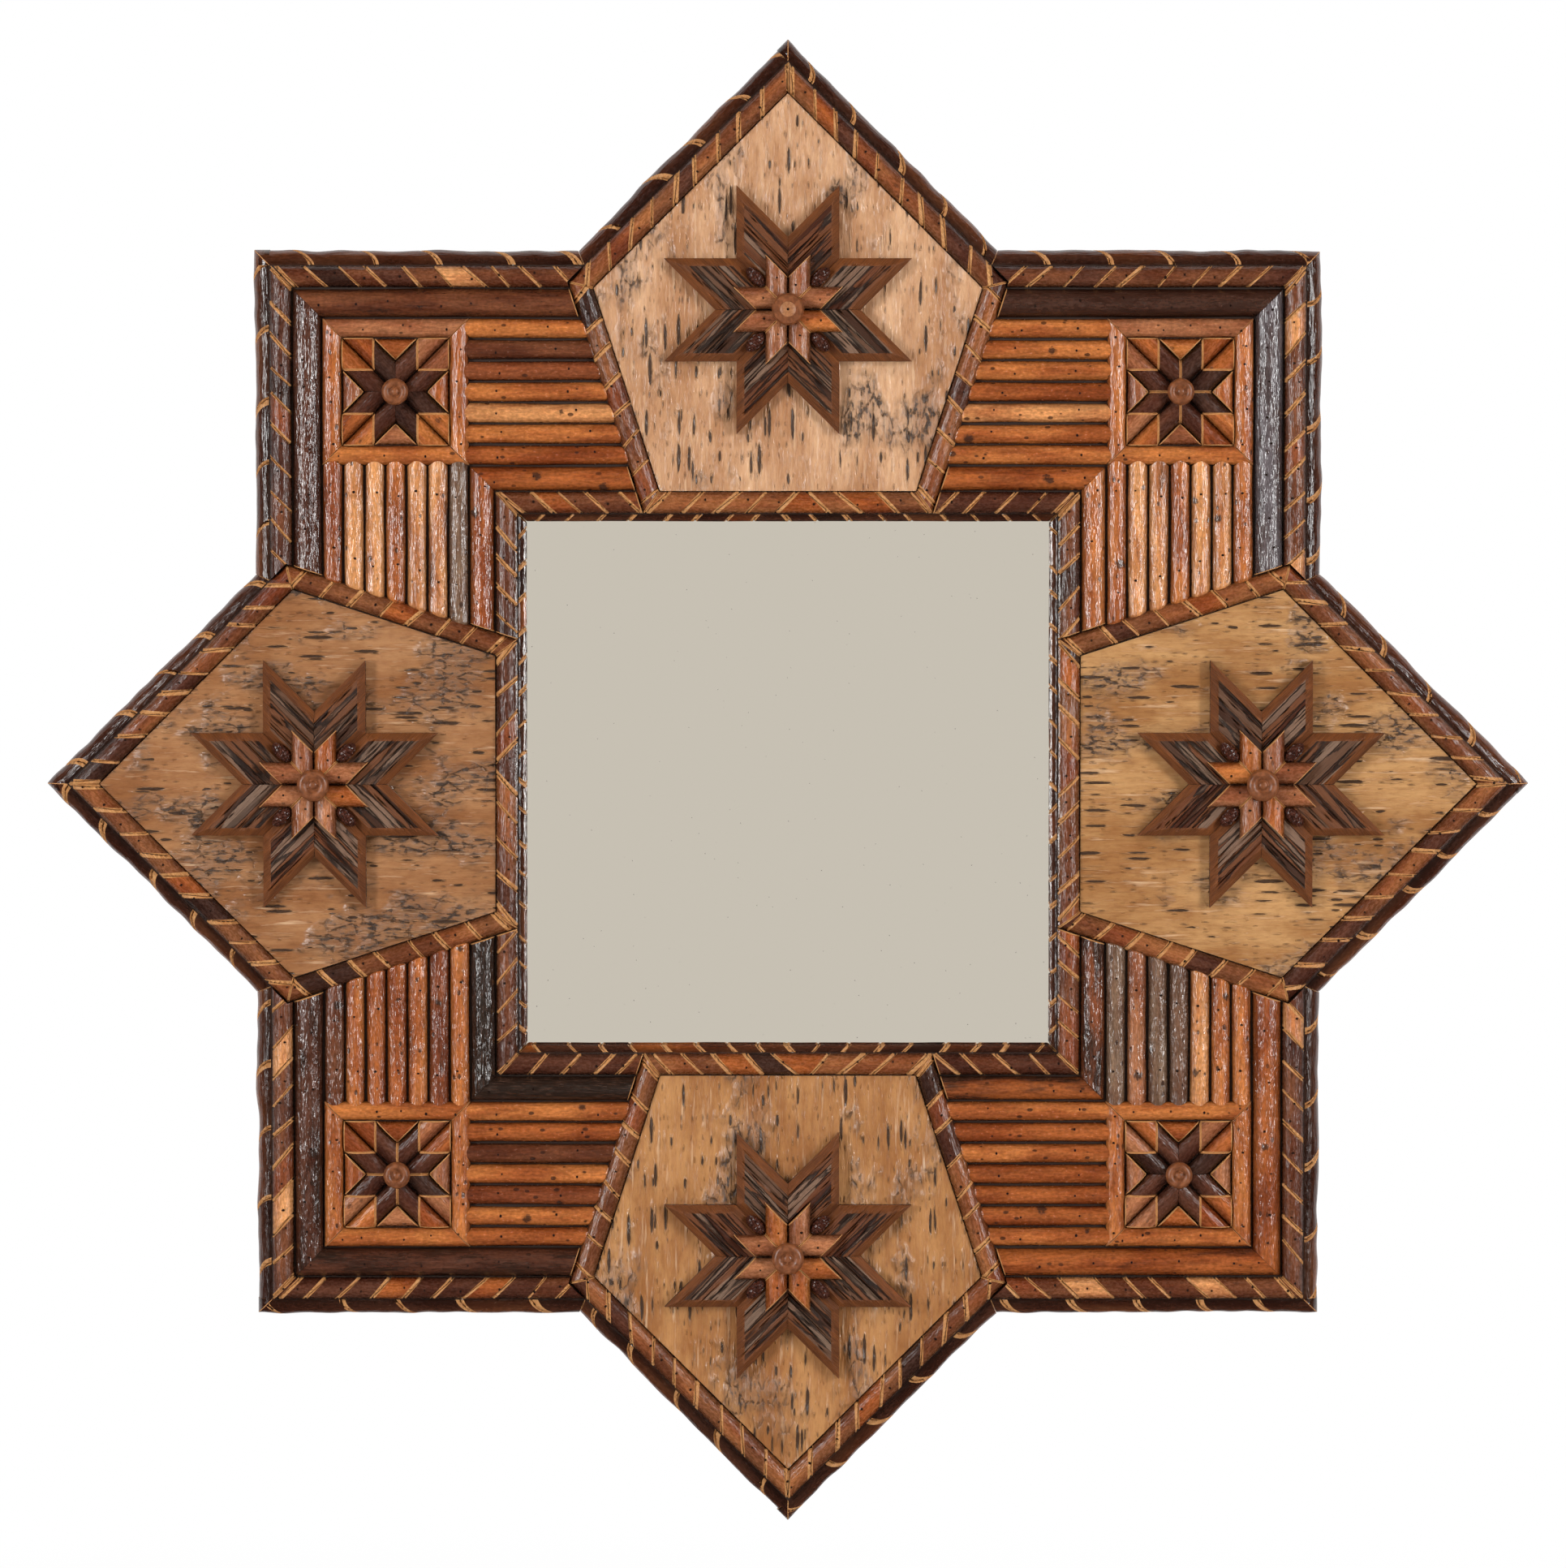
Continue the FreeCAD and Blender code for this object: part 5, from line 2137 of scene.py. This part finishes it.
@dataclass
class StarButtons:
    """Seed cups on the stars, and cones in the large stars' valleys."""

    finishes: Finishes
    radius: float = 8.75
    height: float = 7.0
    nub: float = 2.5
    dip: float = 1.6
    flat_below: float = 0.9
    flat_radius: float = 4.0
    pith: float = 0.72
    point_scale: float = 1.05
    block_scale: float = 0.88
    cone_scale: float = 0.93

    def cup_profile(self, button: bool) -> list[tuple[float, float]]:
        """Half section of a cup, from its underside to its middle.

        Args:
            button: whether the cup is sawn flat in front.

        Returns:
            Distances from the axis and heights.
        """
        crest = (self.radius + self.nub) / 2
        spread = self.radius - crest
        middle = self.height / 2
        points = [(0.0, 0.0), (crest, 0.0)]
        for step in range(1, 8 if button else 9):
            angle = math.radians(-90 + step * 180 / 9)
            points.append((crest + spread * math.cos(angle), middle + middle * math.sin(angle)))
        if button:
            flat = self.height - self.flat_below
            return points + [(x, flat + z) for x, z in ((4.4, 0.3), (4.1, 0), (0.8, 0), (0.7, -0.2), (0, -0.2))]
        low = self.height - self.dip
        return points + [
            (crest, self.height),
            (crest - 1.3, self.height - 0.45),
            (self.nub + 0.75, low),
            (self.nub + 0.1, low + 0.1),
            (self.nub - 0.35, low + 0.95),
            (self.nub * 0.4, low + 1.3),
            (0.0, low + 1.35),
        ]

    def cup(self, target: BMesh, place: Matrix, button: bool) -> None:
        """Spins one cup and adds it.

        Args:
            target: mesh of all the cups.
            place: where the cup sits.
            button: whether the cup is sawn flat in front.
        """
        bm = spun(self.cup_profile(button), 28)
        bmesh.ops.recalc_face_normals(bm, faces=bm.faces[:])
        for face in bm.faces:
            face.smooth = True
            middle = face.calc_center_median()
            reach = middle.to_2d().length
            if button and middle.z > 3.0 and reach < self.flat_radius:
                face.material_index = 1 if reach > self.pith else 2
        for edge in bm.edges:
            edge.smooth = edge.calc_face_angle(0.0) < math.radians(48)
        bm.transform(place)
        join(target, bm)

    def cone(self, target: BMesh, place: Matrix) -> None:
        """Makes one cone with raised scales and adds it.

        Args:
            target: mesh of all the cones.
            place: where the cone lies.
        """
        bm = bmesh.new()
        bmesh.ops.create_uvsphere(bm, u_segments=11, v_segments=9, radius=0.5)
        bmesh.ops.inset_individual(bm, faces=bm.faces[:], thickness=0.03, depth=0.07, use_even_offset=True)
        bm.transform(Matrix.Rotation(math.pi / 2, 4, "Y"))
        for vert in bm.verts:
            vert.co = Matrix.Rotation(vert.co.x * 1.6, 4, "X") @ vert.co
        length, thick = PLAN.cone_length * self.cone_scale, PLAN.cone_diameter * self.cone_scale
        bm.transform(Matrix.Diagonal((length, thick, thick, 1.0)))
        bm.transform(place)
        join(target, bm)

    def build(self) -> None:
        """Builds all cups and cones."""
        look = self.finishes
        cups, cones = bmesh.new(), bmesh.new()
        star = Matrix.Translation((0.0, PLAN.star_centre, 0.0))
        block = Matrix.Translation((-PLAN.block_centre, PLAN.block_centre, PLAN.board_front + PLAN.mosaic_rise))
        raised = Matrix.Translation((0.0, 0.0, PLAN.small_base + PLAN.small_rise))
        half, thick = PLAN.cone_length / 2, PLAN.cone_diameter / 2
        reach = math.sqrt((half**2 + thick**2) / 2) + PLAN.seam
        distance = PLAN.small_side + reach * math.sqrt(2)
        height = PLAN.small_base - PLAN.large_bevel + thick * math.sqrt(2) + 0.1
        wide, narrow = (Matrix.Diagonal((s, s, 1.0, 1.0)) for s in (self.point_scale, self.block_scale))
        for turns in range(4):
            turn = quarter_turn(turns)
            self.cup(cups, turn @ star @ raised @ wide, button=turns == 0)
            self.cup(cups, turn @ block @ narrow, button=False)
            for valley in range(4):
                spin = Matrix.Rotation(math.pi / 4 + math.pi / 2 * valley, 4, "Z")
                seat = Matrix.Translation((distance, 0.0, height))
                roll = Matrix.Rotation(0.7 * valley + turns, 4, "X")
                self.cone(cones, turn @ star @ spin @ seat @ roll)
        mount("seed_cups", cups, (look.cup, look.button, look.brad), ("star_caps",))
        mount("hemlock_cones", cones, (look.cone,), ("seed_cones",))


@dataclass
class BackWork:
    """Board, panel, screws, hangers and bumpers behind the mirror."""

    finishes: Finishes
    nodes: dict[str, bpy.types.Object]
    head: float = 3.5
    head_height: float = 1.8
    slot_half: float = 0.45
    slot_depth: float = 0.8
    shank: float = 1.75
    length: float = 12.0

    def screw(self, target: BMesh, place: Matrix) -> None:
        """Makes one slotted round-head screw, its head towards the wall.

        Args:
            target: mesh of all the screws.
            place: where the screw sits.
        """
        dome = (self.head**2 + self.head_height**2) / (2 * self.head_height)
        runs = [self.head * step / 6 for step in range(6)]
        profile = [(x, dome - self.head_height - math.sqrt(dome**2 - x**2)) for x in runs]
        profile += [(self.head, 0.0), (self.shank, 0.0), (self.shank, self.length - 3), (0.4, self.length),
                    (0.0, self.length)]
        bm = spun(profile, 20)
        for level in (-self.slot_half - 0.05, -self.slot_half, self.slot_half, self.slot_half + 0.05):
            bisect(bm, Vector((0, level, 0)), Vector((0, 1, 0)))
        for vert in bm.verts:
            if vert.co.z < -0.01 and abs(vert.co.y) < self.slot_half + 0.01:
                vert.co.z = min(-0.02, vert.co.z + self.slot_depth)
        bmesh.ops.recalc_face_normals(bm, faces=bm.faces[:])
        bm.transform(place)
        join(target, bm)

    def screw_places(self) -> list[Vector]:
        """Seats of the screws: round the panel, then on the two straps.

        Returns:
            Points under the screws' heads, in the plan.
        """
        ring = PLAN.opening_half + PLAN.panel_lap / 2
        places = [Vector((x, y, PLAN.board_back - PLAN.panel_thickness)) for x in (-ring, 0.0, ring)
                  for y in (-ring, 0.0, ring) if x or y]
        for side in (-1, 1):
            for drop in (PLAN.strap_first_screw, PLAN.strap_first_screw + PLAN.strap_pitch):
                level = PLAN.hanger_level - drop
                places.append(Vector((side * PLAN.hanger_reach, level, PLAN.board_back - PLAN.strap_thickness)))
        return places

    def build(self) -> None:
        """Builds the screws and dresses the other solids."""
        look = self.finishes
        dice = random.Random(401)
        screws = bmesh.new()
        for place in self.screw_places():
            spin = Matrix.Rotation(dice.uniform(0, math.pi), 4, "Z")
            self.screw(screws, Matrix.Translation(place) @ spin)
        mount("slotted_screws", screws, (look.steel,), ("back_screws",))
        dresses = {
            "backing_board": look.plywood,
            "packing_card": look.card,
            "back_panel": look.hardboard,
            "hanger_straps": look.steel,
            "hanger_ring_left": look.steel,
            "hanger_ring_right": look.steel,
            "wall_bumpers": look.rubber,
        }
        for node, material in dresses.items():
            dress(self.nodes[node], material)


@dataclass
class Studio:
    """Pale floor, soft lamps, a plain card for the glass to reflect, and the camera."""

    distance: float = 4.0
    rise: float = 2.5
    frame_width: float = 0.894
    aim: tuple[float, float, float] = (-0.0028, -0.03, 0.0)
    floor_level: float = -0.75
    floor_radius: float = 9.0
    card_half: float = 0.75
    card_tone: Colour = srgb(203, 196, 184)
    dim_tone: Colour = srgb(66, 58, 51)
    white: Colour = (1.0, 1.0, 1.0, 1.0)

    def lamp(self, name: str, place: tuple[float, float, float], size: tuple[float, float], power: float,
             glossy: bool = True) -> None:
        """Adds a soft box that faces the star.

        Args:
            name: name of the lamp.
            place: where it stands.
            size: its width and height.
            power: its power in watts.
            glossy: whether it is seen in gloss, or only fills the shadows.
        """
        light = bpy.data.lights.new(name, "AREA")
        light.shape = "RECTANGLE"
        light.size, light.size_y = size
        light.energy = power
        lamp = link(name, light)
        lamp.location = place
        lamp.rotation_euler = (-Vector(place)).to_track_quat("-Z", "Y").to_euler()
        lamp.visible_glossy = glossy

    @staticmethod
    def seen(graph: Graph) -> Socket:
        """Mask of the rays that show the background itself.

        Args:
            graph: graph of a material or of the world.

        Returns:
            The mask.
        """
        rays = graph.add("LightPath").outputs
        shown = graph.math("MAXIMUM", rays["Is Camera Ray"], rays["Is Glossy Ray"])
        return graph.math("MAXIMUM", shown, rays["Is Transmission Ray"])

    def world(self) -> None:
        """Even light that is white where it is seen."""
        world = bpy.data.worlds.new("studio")
        world.use_nodes = True
        bpy.context.scene.world = world
        graph = Graph(world.node_tree)
        strength = graph.ramp(self.seen(graph), 0.0, 1.0, 0.08, 1.0)
        graph.fill(world.node_tree.nodes["Background"], Color=self.white, Strength=strength)

    @staticmethod
    def disc(radius: float, level: float) -> BMesh:
        """Round sheet at a level.

        Args:
            radius: its radius.
            level: its height.

        Returns:
            The mesh.
        """
        bm = bmesh.new()
        bmesh.ops.create_circle(bm, cap_ends=True, segments=96, radius=radius, matrix=Matrix.Translation((0, 0, level)))
        return bm

    def floor(self) -> None:
        """Round pale floor that keeps the shadow near the star and fades into the white background."""
        graph, shader, material = open_material("pale_floor")
        graph.fill(shader, Base_Color=(0.9, 0.9, 0.89, 1.0), Roughness=0.8)
        glow = graph.add("Emission", Color=self.white, Strength=1.0)
        level = graph.scaled(graph.place(), (1.0, 1.0, 0.0))
        span = graph.add("VectorMath", {"operation": "LENGTH"}, Vector=level).outputs["Value"]
        fade = graph.times(graph.ramp(span, 0.5, 2.2, 0.35, 1.0), self.seen(graph))
        mix = graph.add("MixShader", Fac=fade)
        graph.feed(mix.inputs[1], shader.outputs[0])
        graph.feed(mix.inputs[2], glow.outputs[0])
        graph.feed(graph.tree.nodes["Material Output"].inputs[0], mix.outputs[0])
        add_object("floor", self.disc(self.floor_radius, self.floor_level), [material])

    def screens(self) -> None:
        """Beige card for the glass and a dim room round it, both behind the camera."""
        card, room = bmesh.new(), bmesh.new()
        reach = self.distance + 3.0
        place = Matrix.Translation((0, -self.distance - 1.0, -0.2)) @ Matrix.Rotation(math.pi / 2, 4, "X")
        bmesh.ops.create_grid(card, x_segments=1, y_segments=1, size=self.card_half, matrix=place)
        self.add_screen("wall_card", card, self.card_tone)
        bmesh.ops.create_uvsphere(room, u_segments=48, v_segments=24, radius=reach)
        bisect(room, Vector((0, 1.0, 0)), Vector((0, 1, 0)), clear=True)
        self.add_screen("dim_room", room, self.dim_tone)
        ground = self.disc(reach, self.floor_level + 0.02)
        bisect(ground, Vector((0, 0.5, 0)), Vector((0, 1, 0)), clear=True)
        self.add_screen("dim_ground", ground, self.dim_tone).visible_camera = False

    def add_screen(self, name: str, bm: BMesh, tint: Colour) -> bpy.types.Object:
        """Adds a surface that is seen in reflections, and is white to the camera.

        Args:
            name: name of the surface.
            bm: its mesh.
            tint: its colour in reflections.

        Returns:
            The new object.
        """
        graph, shader, material = open_material(name)
        shown = graph.mix(graph.add("LightPath").outputs["Is Camera Ray"], tint, self.white)
        glow = graph.add("Emission", Color=shown, Strength=1.0)
        graph.feed(graph.tree.nodes["Material Output"].inputs[0], glow.outputs[0])
        graph.tree.nodes.remove(shader)
        screen = add_object(name, bm, [material])
        screen.visible_diffuse = False
        screen.visible_shadow = False
        return screen

    def camera(self) -> None:
        """Camera square on, a little above the star's centre."""
        data = bpy.data.cameras.new("camera")
        data.sensor_fit = "HORIZONTAL"
        data.sensor_width = 36.0
        data.lens = data.sensor_width * self.distance / self.frame_width
        camera = link("camera", data)
        angle = math.radians(self.rise)
        back = Vector((0.0, -math.cos(angle), math.sin(angle)))
        camera.location = Vector(self.aim) + back * self.distance
        camera.rotation_euler = (-back).to_track_quat("-Z", "Y").to_euler()
        bpy.context.scene.camera = camera

    def build(self) -> None:
        """Sets up the whole studio."""
        bpy.context.scene.view_settings.view_transform = "Standard"
        self.world()
        self.floor()
        self.screens()
        for name, side in (("left_box", -1), ("right_box", 1)):
            self.lamp(name, (side * 2.5, -2.3, 0.6), (0.45, 1.9), 70.0)
        self.lamp("top_box", (0.0, -2.0, 2.8), (1.6, 0.6), 30.0, glossy=False)
        self.lamp("back_box", (0.6, 2.8, 1.4), (1.6, 1.2), 60.0, glossy=False)
        self.camera()


def main() -> None:
    """Builds the mirror and its studio."""
    logging.basicConfig(level=logging.INFO, format="%(message)s")
    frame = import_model()
    nodes = frame["nodes"]
    finishes = Finishes()
    Studio().build()
    for turns, name in enumerate(CORNERS):
        CornerWork(name, turns, finishes).build()
    for turns, name in enumerate(POINTS):
        PointWork(name, turns, finishes).build()
    MirrorOpening(finishes, nodes).build()
    StarButtons(finishes).build()
    BackWork(finishes, nodes).build()
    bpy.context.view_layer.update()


if __name__ == "__main__":
    main()
